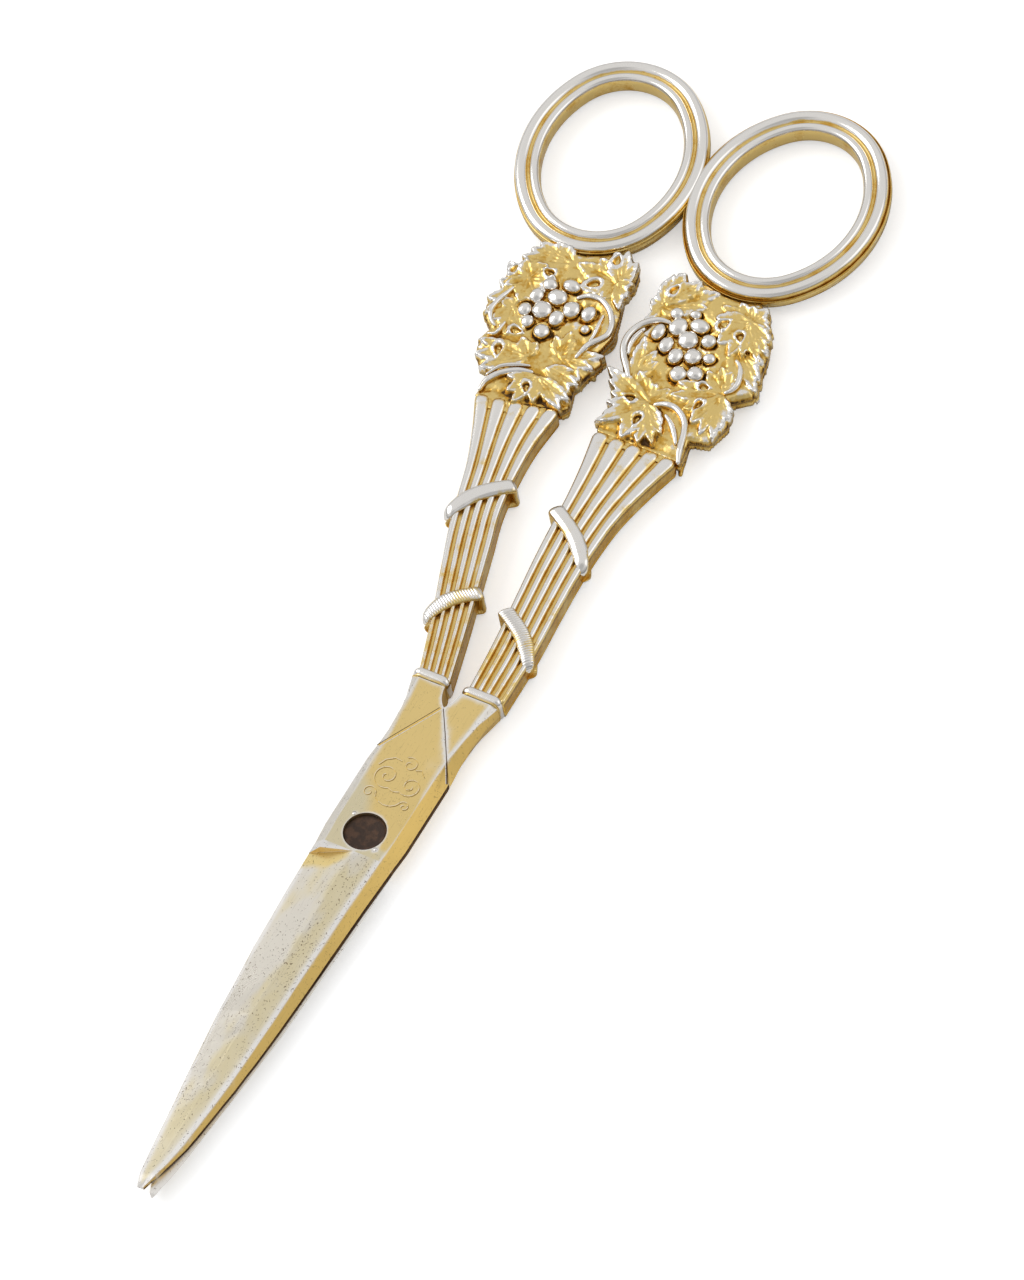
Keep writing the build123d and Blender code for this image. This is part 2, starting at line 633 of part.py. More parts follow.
def leaves(arm, rows, shoots, one_leaf):
    """Leaves on the panel, cut to the head's outline and let in for the bunch and the shoots."""
    together = None
    for across, up, heading, size_share, layer in rows:
        place = head_point(arm, across, up) + Vector(0, 0, PANEL_TOP)
        one = one_leaf(size_share * LEAF_LENGTH, LEAF_THICKNESS + layer * LEAF_STEP)
        one = Pos(place) * Rot(0, 0, heading) * one
        together = one if together is None else together + one
    together = together & head_blank(arm, PANEL_TOP, PANEL_TOP + OVERRUN)
    together = together - bunch_bed(arm)
    for one in shoots.solids():
        together = together - one
    return together


def face_leaves(arm, shoots):
    """The leaves of the face in their two layers."""
    return leaves(arm, arm.leaves, shoots, leaf)


def back_leaves(arm, shoots):
    """The leaves of the back: the lower layer only, left plain."""
    lower = [row for row in arm.leaves if row[-1] == 0]
    return mirrored_low(leaves(arm, lower, shoots, plain_leaf))


def bunch_centre(arm):
    """The middle of the bunch of grapes."""
    return head_point(arm, *arm.bunch)


def grape_places(arm):
    """The centre and the radius of each grape."""
    centre = bunch_centre(arm)
    places = []
    for across, up, size in arm.grapes:
        places.append((centre + Vector(across, up, 0) * BUNCH_REACH, size * GRAPE_RADIUS))
    return places


def bunch_bed(arm):
    """The space that the bunch takes out of the leaves."""
    sides = []
    for place, radius in grape_places(arm):
        outline = Pos(place) * RegularPolygon(radius + BUNCH_MARGIN, GRAPE_SIDES)
        sides.extend(outline.edges())
    return Pos(0, 0, -OVERRUN) * extrude(make_hull(sides), amount=PLATE_TOP + 2 * OVERRUN)


def grapes(arm):
    """The grapes, each rounded over and cut flat where it sits on the panel."""
    balls = []
    for place, radius in grape_places(arm):
        ball = None
        level = PANEL_TOP
        for rise, foot, top in GRAPE_BAND_SHARES:
            slope = math.degrees(math.atan2(foot - top, rise))
            outline = RegularPolygon(foot * radius, GRAPE_SIDES, major_radius=False)
            band = extrude(Pos(place.X, place.Y, level) * outline, amount=rise * radius, taper=slope)
            ball = band if ball is None else ball + band
            level = level + rise * radius
        balls.append(ball)
    return Compound(children=balls)


def back_grapes(arm):
    """The same bunch on the back, its largest grapes dressed flat where the shears rest."""
    reach = 4 * HEAD_HALF_LENGTH
    table = Box(reach, reach, OVERRUN, align=(Align.CENTER, Align.CENTER, Align.MAX))
    table = Pos(bunch_centre(arm)) * table
    return Compound(children=[mirrored_low(ball) - table for ball in grapes(arm).solids()])


def shoot(arm, route):
    """A shoot that lies on the panel along its route and thins to its ends."""
    points = [head_point(arm, across, up) for across, up in route]
    path = Spline(*points)
    lefts = []
    rights = []
    for number in range(SHOOT_STATIONS + 1):
        far = number / SHOOT_STATIONS
        to_end = min(far, 1 - far) / SHOOT_TAPER_SHARE
        full = SHOOT_END_SHARE + (1 - SHOOT_END_SHARE) * min(to_end, 1)
        along = path % far
        half = Vector(along.Y, -along.X, 0) * (SHOOT_WIDTH / 2 * full)
        lefts.append(path @ far - half)
        rights.append(path @ far + half)
    return prism([*lefts, *reversed(rights)], PANEL_TOP, PANEL_TOP + SHOOT_STAND)


def vine_shoots(arm):
    """The shoots of the head, kept inside its outline and clear of the grapes."""
    blank = head_blank(arm, PANEL_TOP, PANEL_TOP + OVERRUN)
    bed = bunch_bed(arm)
    pieces = []
    for route in arm.shoots:
        pieces.extend(((shoot(arm, route) & blank) - bed).solids())
    return Compound(children=pieces)


# Finger rings
def oval_points(grow):
    """Points round the ring's four-centred oval, which is grown by a length."""
    rise = RING_HALF_LENGTH - RING_END_RADIUS
    across = RING_HALF_WIDTH - RING_END_RADIUS
    side_radius = (RING_HALF_WIDTH**2 + rise**2 - RING_END_RADIUS**2) / (2 * across)
    back = side_radius - RING_HALF_WIDTH
    turn = math.degrees(math.atan2(rise, back))
    arcs = (
        (Vector(-back, 0, 0), side_radius + grow, -turn, 2 * turn),
        (Vector(0, rise, 0), RING_END_RADIUS + grow, turn, 180 - 2 * turn),
        (Vector(back, 0, 0), side_radius + grow, 180 - turn, 2 * turn),
        (Vector(0, -rise, 0), RING_END_RADIUS + grow, 180 + turn, 180 - 2 * turn),
    )
    points = []
    for centre, radius, start, sweep_angle in arcs:
        count = round(sweep_angle / RING_FACET)
        for number in range(count):
            angle = math.radians(start + sweep_angle * number / count)
            points.append(centre + Vector(math.cos(angle), math.sin(angle), 0) * radius)
    return points


def ring_section(place, out):
    """The moulded section of the ring: two beads and a groove on each face, a fine groove outside."""
    wall, height, shoulder = RING_WALL, RING_HALF_THICKNESS, RING_SHOULDER
    near, far = [share * wall for share in RING_CROWN_SHARES]
    face = [(-wall, shoulder), (-far, height), (-near, height), (0, height - RING_GROOVE),
            (near, height), (far, height), (wall, shoulder)]
    back = [(across, -up) for across, up in reversed(face)]
    side = (wall - RING_SIDE_GROOVE, 0)
    corners = [place + out * across + Vector(0, 0, up) for across, up in (*face, side, *back)]
    return make_face(Polyline(*corners, close=True))


def ring_place(arm):
    """Where the middle of the ring is, and its lean: it stands on its foot on the head."""
    across, up = arm.ring_foot
    foot = head_point(arm, across, up)
    return Pos(foot) * Rot(0, 0, arm.ring_lean) * Pos(0, RING_HALF_LENGTH + RING_WALL, 0)


def finger_ring(arm):
    """The oval moulded ring, swept from the middle of one facet round to it again, leaning with its arm."""
    points = oval_points(0)
    start = (points[0] + points[1]) / 2
    along = (points[1] - points[0]).normalized()
    path = Polyline(start, *points[1:], points[0], start)
    ring = sweep(ring_section(start, Vector(along.Y, -along.X, 0)), path=path, transition=Transition.RIGHT)
    return Pos(0, 0, MIDDLE_HEIGHT) * ring_place(arm) * ring


def ring_disc(clearance):
    """The ring's outer outline as a filled disc, to cut its seat."""
    return prism(oval_points(RING_WALL + clearance), -OVERRUN, PLATE_TOP + OVERRUN)


def handle_nodes(name, arm):
    """The named pieces of one handle."""
    lower = wrap(arm, arm.lower_wrap)
    upper = wrap(arm, arm.upper_wrap)
    shoots = vine_shoots(arm)
    return {
        f"{name}_collar": collar(arm.side, arm.crotch),
        f"{name}_reeded_stem": reeded_stem(arm, (lower, upper)),
        f"{name}_lower_wrap": lower,
        f"{name}_upper_wrap": upper,
        f"{name}_vine_panel": head_blank(arm, MIDDLE_HEIGHT - PANEL_HALF_THICKNESS, PANEL_TOP),
        f"{name}_face_leaves": face_leaves(arm, shoots),
        f"{name}_back_leaves": back_leaves(arm, shoots),
        f"{name}_face_shoots": shoots,
        f"{name}_back_shoots": mirrored_low(shoots),
        f"{name}_face_grapes": grapes(arm),
        f"{name}_back_grapes": back_grapes(arm),
        f"{name}_finger_ring": finger_ring(arm),
    }


nodes = {
    "front_blade": front_blade(),
    "rear_blade": rear_blade(),
    "pivot_rivet": pivot_rivet(),
    "lock_pins": lock_pin_pair(LOCK_PIN_RADIUS),
    **handle_nodes("front", FRONT),
    **handle_nodes("rear", REAR),
}

os.makedirs("parts", exist_ok=True)
for node, shape in nodes.items():
    export_step(Compound(children=list(shape.solids())), f"parts/{node}.step")
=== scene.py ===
import math
import bpy
import bmesh
import numpy as np
from mathutils import Matrix, Vector, kdtree


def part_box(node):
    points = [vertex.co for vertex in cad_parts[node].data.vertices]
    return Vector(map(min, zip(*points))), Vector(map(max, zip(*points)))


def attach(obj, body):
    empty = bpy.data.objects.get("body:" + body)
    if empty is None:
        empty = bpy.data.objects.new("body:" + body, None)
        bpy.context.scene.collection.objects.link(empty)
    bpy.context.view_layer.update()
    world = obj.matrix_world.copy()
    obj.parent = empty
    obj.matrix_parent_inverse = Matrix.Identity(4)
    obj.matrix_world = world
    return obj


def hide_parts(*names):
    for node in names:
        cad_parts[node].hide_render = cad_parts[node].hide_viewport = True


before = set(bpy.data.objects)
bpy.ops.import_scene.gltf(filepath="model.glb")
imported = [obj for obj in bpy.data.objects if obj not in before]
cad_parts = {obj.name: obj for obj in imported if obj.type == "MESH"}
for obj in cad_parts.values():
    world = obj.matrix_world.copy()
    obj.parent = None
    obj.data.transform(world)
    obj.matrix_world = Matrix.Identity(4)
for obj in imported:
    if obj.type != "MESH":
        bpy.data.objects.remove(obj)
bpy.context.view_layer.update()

# Gilt silver grape shears on a white table. Lengths are in millimetres and become metres where a mesh is made.
MM = 0.001

# Heights that the pieces share with the solids
MIDDLE = 2.0
PLATE_TOP = 3.75
PANEL_TOP = 2.85

# Camera: what the middle of the picture looks at, and from where
LOOK_AT = (2.92, 33.05, 3.75)
VIEW_AZIMUTH = 129.25
VIEW_ELEVATION = 55.0
VIEW_ROLL = 12.4
VIEW_DISTANCE = 4000.0
PIXELS_PER_MM = 7.95
PICTURE_HEIGHT = 1280
SENSOR = 36.0

# Colours, as linear red, green and blue
GILT = (0.74, 0.545, 0.20, 1)
# A darker, more saturated gold for little rubbed walls, grooves and hollows: painted shade
PAINTED_SHADE_GILT = (0.58, 0.33, 0.055, 1)
PALE_GILT = (0.76, 0.60, 0.27, 1)
WORN_GILT = (0.68, 0.60, 0.40, 1)
PLATE_GOLD = (0.75, 0.565, 0.235, 1)
SPINE_GOLD = (0.76, 0.535, 0.175, 1)
SILVER = (0.80, 0.775, 0.74, 1)
GROUND_SILVER = (0.70, 0.66, 0.585, 1)
PATINA = (0.10, 0.055, 0.025, 1)
BROWN_STEEL = (0.045, 0.027, 0.019, 1)
RUST = (0.085, 0.046, 0.028, 1)

# Reeded stems
COLLAR_END = 24.9
STEM_LENGTH = 40.0
STEM_HALF_THICKNESS = 1.6
REED_HEIGHT = 0.60
REED_COUNT = 5
REED_WIDTH_SHARES = (0.66, 0.90)
NOSE_LENGTH = 1.15
NOSE_REACH = {"front": 0.7, "rear": 1.0}
STEM_WIDTH = {"front": 11.2, "rear": 11.4}
STEM_REACH = {"front": -14.1, "rear": 3.75}
# Each row: how far up the stem, how far sideways, how wide, and the tilt of the row in degrees
STEM_SHARES = {
    "front": (
        (0.00, 0.260, 0.415, 0),
        (0.18, 0.410, 0.462, 0),
        (0.38, 0.592, 0.525, 0),
        (0.50, 0.700, 0.560, 0),
        (0.63, 0.806, 0.565, 0),
        (0.75, 0.878, 0.620, 2),
        (0.88, 0.955, 0.770, 6),
        (1.00, 1.010, 1.000, 10),
    ),
    "rear": (
        (0.00, 1.04, 0.465, 0),
        (0.18, 0.955, 0.507, 0),
        (0.38, 0.765, 0.540, 0),
        (0.50, 0.655, 0.570, 0),
        (0.63, 0.590, 0.612, 0),
        (0.75, 0.590, 0.675, 0),
        (0.88, 0.650, 0.830, 0),
        (1.00, 0.720, 1.030, 0),
    ),
}

# Wraps: where each meets the outer and the inner edge of its stem, as shares of the stem length
WRAP_SHARES = {
    "front_lower": (0.18, 0.315),
    "front_upper": (0.555, 0.715),
    "rear_lower": (0.14, 0.29),
    "rear_upper": (0.535, 0.695),
}
WRAP_HALF_WIDTH = 1.1
WRAP_HALF_THICKNESS = 0.45
WRAP_OVERHANG = {"front": 1.15, "rear": 0.5}
WRAP_BOW = {"front": 1.0, "rear": 0.75}
RIB_PITCH = 0.36
RIB_DEPTH = 0.10

# Finger rings, about the line of the groove
RING_HALF_WIDTH = {"front": 10.45, "rear": 10.7}
RING_HALF_LENGTH = 13.1
RING_END_RADIUS = 9.0
RING_INNER_WALL = -1.45
RING_OUTER_WALL = {"front": 1.85, "rear": 2.1}
RING_SHIFT = {"front": (-0.1, 0.72), "rear": (-0.4, 0.9)}
RING_LEAN = {"front": 12.0, "rear": -1.0}
RING_STATIONS = 260

# Vine heads
HEAD_GRID = 0.08
BACK_GRID = 0.14
LEAF_LEVEL = 0.42
LAYER_RISE = 0.16
LEAF_RIM = 0.05
LEAF_DISH = 0.12
VEIN_STAND = 0.12
VEIN_WIDTH = 0.11
TOOTH_LENGTH = 1.2
TOOTH_RISE = 0.10
PILLOW_RISE = 0.125
TIP_LIFT = 0.09
SIDE_VEIN_RISE = 0.05
EYE_DEPTH = 0.5
EYE_RIM = 0.2
GROUND_RISE = 0.10
FOLIAGE_RISE = 0.36
STEM_SEAT = 0.34
SEAT_LENGTH = 1.1
STIPPLE = 0.02
GRAPE_FULLNESS = 1.25
# Each leaf: where its veins meet, its layer, and its lobes with their tips and half widths
FRONT_LEAVES = (
    ((-21.38, 80.95), 0, ((-25.94, 84.14, 1.3), (-25.68, 81.05, 1.3), (-25.82, 77.96, 1.2), (-25.18, 75.69, 1.0))),
    ((-18.49, 87.24), 0, ((-24.86, 85.48, 1.2), (-24.39, 87.03, 1.1), (-23.71, 88.27, 1.1), (-21.53, 89.09, 1.3))),
    ((-22.31, 82.8), 1, ((-24.06, 85.17, 1.0), (-21.06, 85.59, 1.5), (-18.83, 83.94, 1.2), (-19.26, 79.81, 1.5),
        (-21.54, 78.99, 1.3), (-24.57, 80.64, 0.9))),
    ((-21.93, 78.16), 0, ((-23.67, 75.28, 1.0), (-20.85, 73.83, 1.4), (-18.86, 74.66, 1.1), (-23.93, 78.58, 0.9))),
    ((-16.61, 72.08), 1, ((-23.41, 72.08, 1.2), (-23.07, 69.81, 1.3), (-21.54, 68.06, 1.2),
        (-19.36, 69.51, 0.9), (-18.66, 74.45, 1.0), (-16.46, 74.66, 0.8))),
    ((-11.69, 86.82), 0, ((-17.7, 87.44, 1.3), (-15.84, 84.25, 1.5), (-12.23, 83.73, 1.2), (-15.43, 89.3, 1.2))),
    ((-11.39, 87.03), 1, ((-13.96, 90.95, 1.4), (-12.58, 91.77, 1.0), (-10.56, 90.64, 0.9), (-10.02, 88.78, 0.8))),
    ((-11.49, 86.82), 1, ((-9.4, 87.34, 0.7), (-9.26, 85.17, 0.8), (-9.42, 83.11, 0.8))),
    ((-12.85, 73.83), 0, ((-7.49, 76.21, 0.9), (-7.85, 73.83, 0.9), (-8.6, 71.57, 0.9), (-14.89, 76.52, 0.8),
        (-13.32, 77.86, 0.8), (-12.2, 77.03, 0.7))),
    ((-13.6, 71.57), 1, ((-8.29, 70.74, 1.0), (-10.02, 72.6, 0.7), (-8.76, 69.4, 0.9))),
    ((-13.77, 69.81), 2, ((-17.54, 68.27, 0.8), (-16.5, 66.21, 1.1), (-14.98, 64.87, 1.0), (-12.5, 65.9, 1.0),
        (-8.71, 66.52, 1.1), (-8.14, 68.16, 1.0))),
)
REAR_LEAVES = (
    ((7.57, 84.04), 0, ((11.58, 83.42, 0.9), (12.22, 81.05, 1.0), (12.76, 79.09, 1.0), (9.45, 79.4, 1.2))),
    ((-4.87, 86.0), 0, ((-6.34, 84.45, 0.8), (-5.61, 82.8, 0.8), (-6.69, 86.82, 0.7), (-0.87, 86.21, 1.2),
        (0.89, 88.06, 1.4), (1.34, 90.74, 1.4))),
    ((-4.48, 86.62), 1, ((-6.51, 88.37, 0.9), (-6.34, 89.81, 0.9), (-5.77, 91.15, 0.9), (-4.38, 91.98, 1.1),
        (-1.57, 91.36, 1.3))),
    ((6.98, 88.47), 0, ((8.03, 91.26, 0.9), (9.06, 89.61, 0.8), (9.88, 88.58, 0.7), (6.04, 90.74, 1.1),
        (4.34, 90.64, 0.9), (2.37, 89.2, 0.9))),
    ((6.89, 88.27), 1, ((2.51, 87.24, 1.3), (4.57, 83.73, 1.5), (6.89, 82.49, 1.1), (8.48, 83.22, 0.9),
        (10.92, 86.62, 1.0), (11.35, 84.76, 1.0), (10.78, 83.32, 0.9))),
    ((8.99, 77.24), 0, ((8.53, 80.74, 0.9), (6.92, 80.95, 0.9), (5.45, 79.61, 1.0), (4.3, 76.93, 1.1))),
    ((9.0, 77.03), 0, ((2.7, 76.62, 1.0), (2.84, 74.45, 1.1), (5.47, 73.22, 1.2))),
    ((9.0, 76.82), 1, ((11.75, 73.94, 0.9), (11.39, 72.19, 0.9), (11.12, 70.43, 0.9), (9.22, 70.54, 1.0),
        (7.3, 71.57, 1.3))),
    ((-2.86, 74.87), 0, ((-4.38, 81.15, 0.9), (-1.86, 79.81, 0.9), (-0.93, 78.27, 0.8))),
    ((0.89, 72.08), 0, ((-2.49, 76.1, 1.0), (-0.78, 75.69, 0.8), (0.63, 75.28, 0.7), (2.53, 75.28, 0.9),
        (3.36, 73.63, 0.8))),
    ((0.99, 71.98), 1, ((-6.47, 74.97, 1.2), (-5.43, 73.22, 1.0), (-4.3, 71.67, 1.1), (-3.59, 70.74, 0.8))),
    ((0.79, 71.77), 2, ((-4.07, 70.02, 0.9), (-3.64, 68.27, 0.9), (-3.91, 66.72, 1.0), (0.3, 65.9, 1.4),
        (2.8, 66.0, 1.1), (4.59, 66.62, 0.9), (4.95, 68.47, 0.9), (4.33, 69.92, 0.9))),
)
# Each drilled eye: its place, the heading of its point in degrees, its half length and half width
FRONT_EYES = (
    (-13.24, 89.76, 100, 0.72, 0.42), (-14.36, 85.38, 215, 0.85, 0.45), (-20.34, 84.56, 170, 0.62, 0.5),
    (-24.67, 83.42, 80, 0.75, 0.3), (-19.87, 75.02, 0, 0.75, 0.42), (-20.5, 71.46, -70, 0.85, 0.42),
    (-14.33, 67.75, -60, 0.8, 0.38), (-23.4, 71.57, -60, 0.45, 0.2),
)
REAR_EYES = (
    (-4.27, 88.78, 75, 0.75, 0.38), (4.02, 86.72, 60, 0.75, 0.52), (6.83, 85.79, -55, 0.7, 0.42),
    (8.87, 84.04, 0, 0.22, 0.18), (6.95, 74.35, -100, 0.78, 0.38), (6.29, 77.24, 5, 0.6, 0.38),
    (-1.51, 71.88, 175, 0.72, 0.45), (0.94, 69.2, -85, 0.82, 0.4), (1.73, 67.34, 75, 0.5, 0.2),
)
# Each shoot: its width and the points of its route
FRONT_SHOOTS = (
    (0.62, ((-15.2, 82.39), (-13.92, 83.32), (-12.42, 83.53), (-10.91, 82.91), (-9.59, 81.67), (-8.87, 80.33),
        (-8.74, 79.09), (-9.32, 77.96), (-10.1, 76.93), (-10.58, 75.48), (-10.85, 74.25))),
    (0.45, ((-10.69, 81.67), (-10.46, 79.81), (-10.28, 78.37), (-10.4, 76.93))),
    (0.5, ((-23.27, 80.85), (-23.65, 79.4), (-24.12, 77.86), (-24.19, 76.31), (-23.57, 75.18), (-22.56, 74.45))),
    (0.42, ((-21.68, 75.69), (-21.76, 74.56), (-21.94, 73.53), (-23.03, 73.01))),
    (0.62, ((-19.68, 64.87), (-19.56, 66.41), (-18.74, 67.96), (-17.46, 69.09), (-16.07, 69.81), (-14.58, 70.23))),
    (0.42, ((-20.02, 67.34), (-18.86, 69.2), (-17.18, 70.23), (-15.39, 70.95))),
)
REAR_SHOOTS = (
    (0.66, ((-2.13, 84.04), (-3.43, 83.94), (-4.82, 83.11), (-5.84, 81.77), (-6.26, 80.23), (-6.08, 78.58),
        (-5.31, 77.13), (-4.18, 75.79), (-3.06, 74.45))),
    (0.45, ((-4.99, 81.67), (-5.31, 80.02), (-5.29, 78.78), (-4.91, 77.55))),
    (0.58, ((7.99, 82.49), (9.11, 81.67), (9.78, 80.43), (10.06, 79.2), (9.87, 78.16), (9.09, 77.24))),
    (0.66, ((1.69, 72.08), (2.98, 72.7), (4.37, 72.8), (5.79, 72.19), (6.91, 71.05), (7.53, 69.71),
        (7.96, 68.27), (8.38, 66.82), (9.01, 65.38))),
    (0.6, ((3.8, 71.46), (5.12, 70.54), (6.24, 69.4), (7.37, 67.86))),
)
# Each grape: its place, and its half widths across and along
FRONT_GRAPES = (
    (-16.63, 83.88, 1.0, 0.75), (-19.31, 83.01, 0.85, 0.7), (-17.39, 81.61, 1.1, 1.0),
    (-14.87, 80.69, 0.95, 1.05), (-12.57, 81.0, 0.78, 1.0), (-20.07, 80.84, 0.78, 0.95),
    (-18.34, 79.14, 1.08, 1.1), (-16.03, 78.73, 0.8, 0.98), (-20.43, 78.31, 0.75, 0.85),
    (-19.2, 76.82, 0.7, 0.75), (-16.79, 76.2, 0.88, 0.88), (-11.83, 78.73, 0.5, 0.5),
)
REAR_GRAPES = (
    (-2.28, 85.69, 0.78, 0.72), (0.02, 86.46, 0.65, 0.55), (1.37, 85.12, 1.1, 0.88), (-1.13, 83.93, 1.02, 1.12),
    (3.48, 83.57, 0.82, 0.8), (0.99, 82.7, 1.1, 1.08), (-3.07, 82.28, 0.72, 1.0), (-1.21, 80.94, 0.78, 1.0),
    (2.8, 80.69, 0.95, 0.98), (4.85, 81.25, 0.7, 0.62), (0.7, 79.86, 0.8, 0.98), (4.32, 78.47, 0.92, 0.88),
    (2.34, 77.59, 0.95, 0.95),
)
LEAVES = {"front": FRONT_LEAVES, "rear": REAR_LEAVES}
EYES = {"front": FRONT_EYES, "rear": REAR_EYES}
SHOOTS = {"front": FRONT_SHOOTS, "rear": REAR_SHOOTS}
GRAPES = {"front": FRONT_GRAPES, "rear": REAR_GRAPES}

# Blades and pivot
BLADE_START = -3.2
LEDGE_START = -6.0
SHADE_HEIGHT = 0.30
SHADE_END = 12.0
CHAMFER_START = (3.25, 2.56)
CHAMFER_EDGE = 4.21
EDGE_FADE = 0.42
RUBBED_EDGE_WIDTH = 0.1
SHARP_EDGE_DEGREES = 24
# The cells that carry the forgings' wear: where the first cut is, and how far apart they are in x and y
CELL_START = 0.31
CELL_PITCHES = (0.5, 0.6)
# The finishes of a forging, in the order of its materials. The edge silver also serves as painted highlight, and the
# last is painted shadow.
PLATE_FINISH, FACE_FINISH, SPINE_FINISH, LAP_FINISH, HIGHLIGHT_AND_EDGE_FINISH, PAINTED_SHADOW_FINISH = range(6)
# Where the pointed blades are cut across, so that their edge lines can bend there
BLADE_STATIONS = (-17.0, -23.0, -26.5, -33.0, -35.5, -38.0, -42.5, -45.0, -47.5, -51.5, -53.5, -56.5)
# How far each edge line of the pointed blades moves sideways: place along the blade, then the shift
BLADE_SHIFTS = {
    "front": {
        "left": ((-57.6, -0.22), (-56.0, -0.3), (-52.8, -0.12), (-49.6, 0.1), (-46.0, 0.15), (-27.0, 0.18),
            (-20.0, 0.0)),
        "crest": ((-57.6, 0.1), (-54.4, 0.3), (-52.2, 0.28), (-50.0, 0.18), (-45.2, 0.13), (-40.2, -0.08),
            (-35.0, 0.03), (-29.0, 0.0)),
        "right": ((-57.6, -0.15), (-55.6, -0.12), (-53.8, 0.02), (-51.4, 0.09), (-47.5, 0.05), (-44.5, -0.06),
            (-41.5, -0.18), (-38.5, -0.16), (-35.0, -0.03), (-30.0, -0.03), (-26.0, 0.0)),
    },
    "rear": {
        "left": ((-57.6, 0.0), (-20.0, 0.0)),
        "crest": ((-57.6, 0.0), (-20.0, 0.0)),
        "right": ((-57.6, 0.0), (-56.4, -0.1), (-54.1, -0.14), (-52.0, -0.2), (-50.0, -0.33), (-46.5, -0.4),
            (-41.0, -0.4), (-33.0, -0.34), (-26.0, -0.3), (-20.0, -0.2), (-12.0, 0.0)),
    },
}
# What share of its height over the lap the front blade keeps: place along the blade, then the share
BLADE_THINNING = ((-57.6, 0.45), (-55.4, 0.52), (-50.0, 0.67), (-45.0, 0.79), (-40.0, 0.89), (-34.0, 1.0))
# Where the front blade's crest runs: place along the blade, then how far sideways
BLADE_CREST = ((-57.6, 0.3), (-55.4, 0.61), (-50.0, 1.74), (-40.2, 3.04), (-29.9, 3.44), (-20.0, 3.6))
STEEL_SINK = 0.45
RIVET_RADIUS = 2.8
RIVET_HEAD_RADIUS = 3.4
RIVET_HEAD_THICKNESS = 0.8
LOCK_PIN_RADIUS = 0.27
LOCK_PIN_DISTANCE = 3.16
LOCK_PIN_BEARING = 144.0


# Shader nodes
def add_node(tree, kind, **settings):
    """A new node with its settings and the values of its inputs."""
    node = tree.nodes.new(kind)
    for name, value in settings.items():
        if name in node.inputs:
            node.inputs[name].default_value = value
        else:
            setattr(node, name, value)
    return node


def maths(tree, operation, one, two):
    """The sum, product or other result of two sockets or numbers."""
    node = tree.nodes.new("ShaderNodeMath")
    node.operation = operation
    for socket, value in zip(node.inputs, (one, two)):
        if isinstance(value, (int, float)):
            socket.default_value = value
        else:
            tree.links.new(value, socket)
    return node.outputs[0]


def step_between(tree, value, low, high):
    """A soft step from 0 at low to 1 at high."""
    node = add_node(tree, "ShaderNodeMapRange", interpolation_type="SMOOTHSTEP")
    tree.links.new(value, node.inputs["Value"])
    for name, limit in (("From Min", low), ("From Max", high)):
        if isinstance(limit, (int, float)):
            node.inputs[name].default_value = limit
        else:
            tree.links.new(limit, node.inputs[name])
    return node.outputs["Result"]


def blend_colours(tree, share, one, two):
    """Colour one, turning into colour two where share is 1."""
    node = add_node(tree, "ShaderNodeMix", data_type="RGBA")
    tree.links.new(share, node.inputs[0])
    for socket, value in ((node.inputs[6], one), (node.inputs[7], two)):
        if isinstance(value, tuple):
            socket.default_value = value
        else:
            tree.links.new(value, socket)
    return node.outputs[2]


def object_noise(tree, scale, detail=3.0, stretch=(1, 1, 1), turn=0.0):
    """Noise on Object coordinates, its scale in cells per millimetre, turned by so many degrees."""
    place = tree.nodes.new("ShaderNodeTexCoord")
    mapping = add_node(tree, "ShaderNodeMapping", vector_type="TEXTURE")
    mapping.inputs["Scale"].default_value = [MM / share for share in stretch]
    mapping.inputs["Rotation"].default_value = (0, 0, math.radians(turn))
    tree.links.new(place.outputs["Object"], mapping.inputs["Vector"])
    noise = add_node(tree, "ShaderNodeTexNoise", Scale=scale, Detail=detail)
    tree.links.new(mapping.outputs["Vector"], noise.inputs["Vector"])
    return noise.outputs["Fac"]


def new_group(name, inputs, outputs):
    """An empty shader node group with its named sockets."""
    group = bpy.data.node_groups.new(name, "ShaderNodeTree")
    for label, kind, value in inputs:
        socket = group.interface.new_socket(label, in_out="INPUT", socket_type=kind)
        socket.default_value = value
    for label, kind in outputs:
        group.interface.new_socket(label, in_out="OUTPUT", socket_type=kind)
    return group, group.nodes.new("NodeGroupInput"), group.nodes.new("NodeGroupOutput")


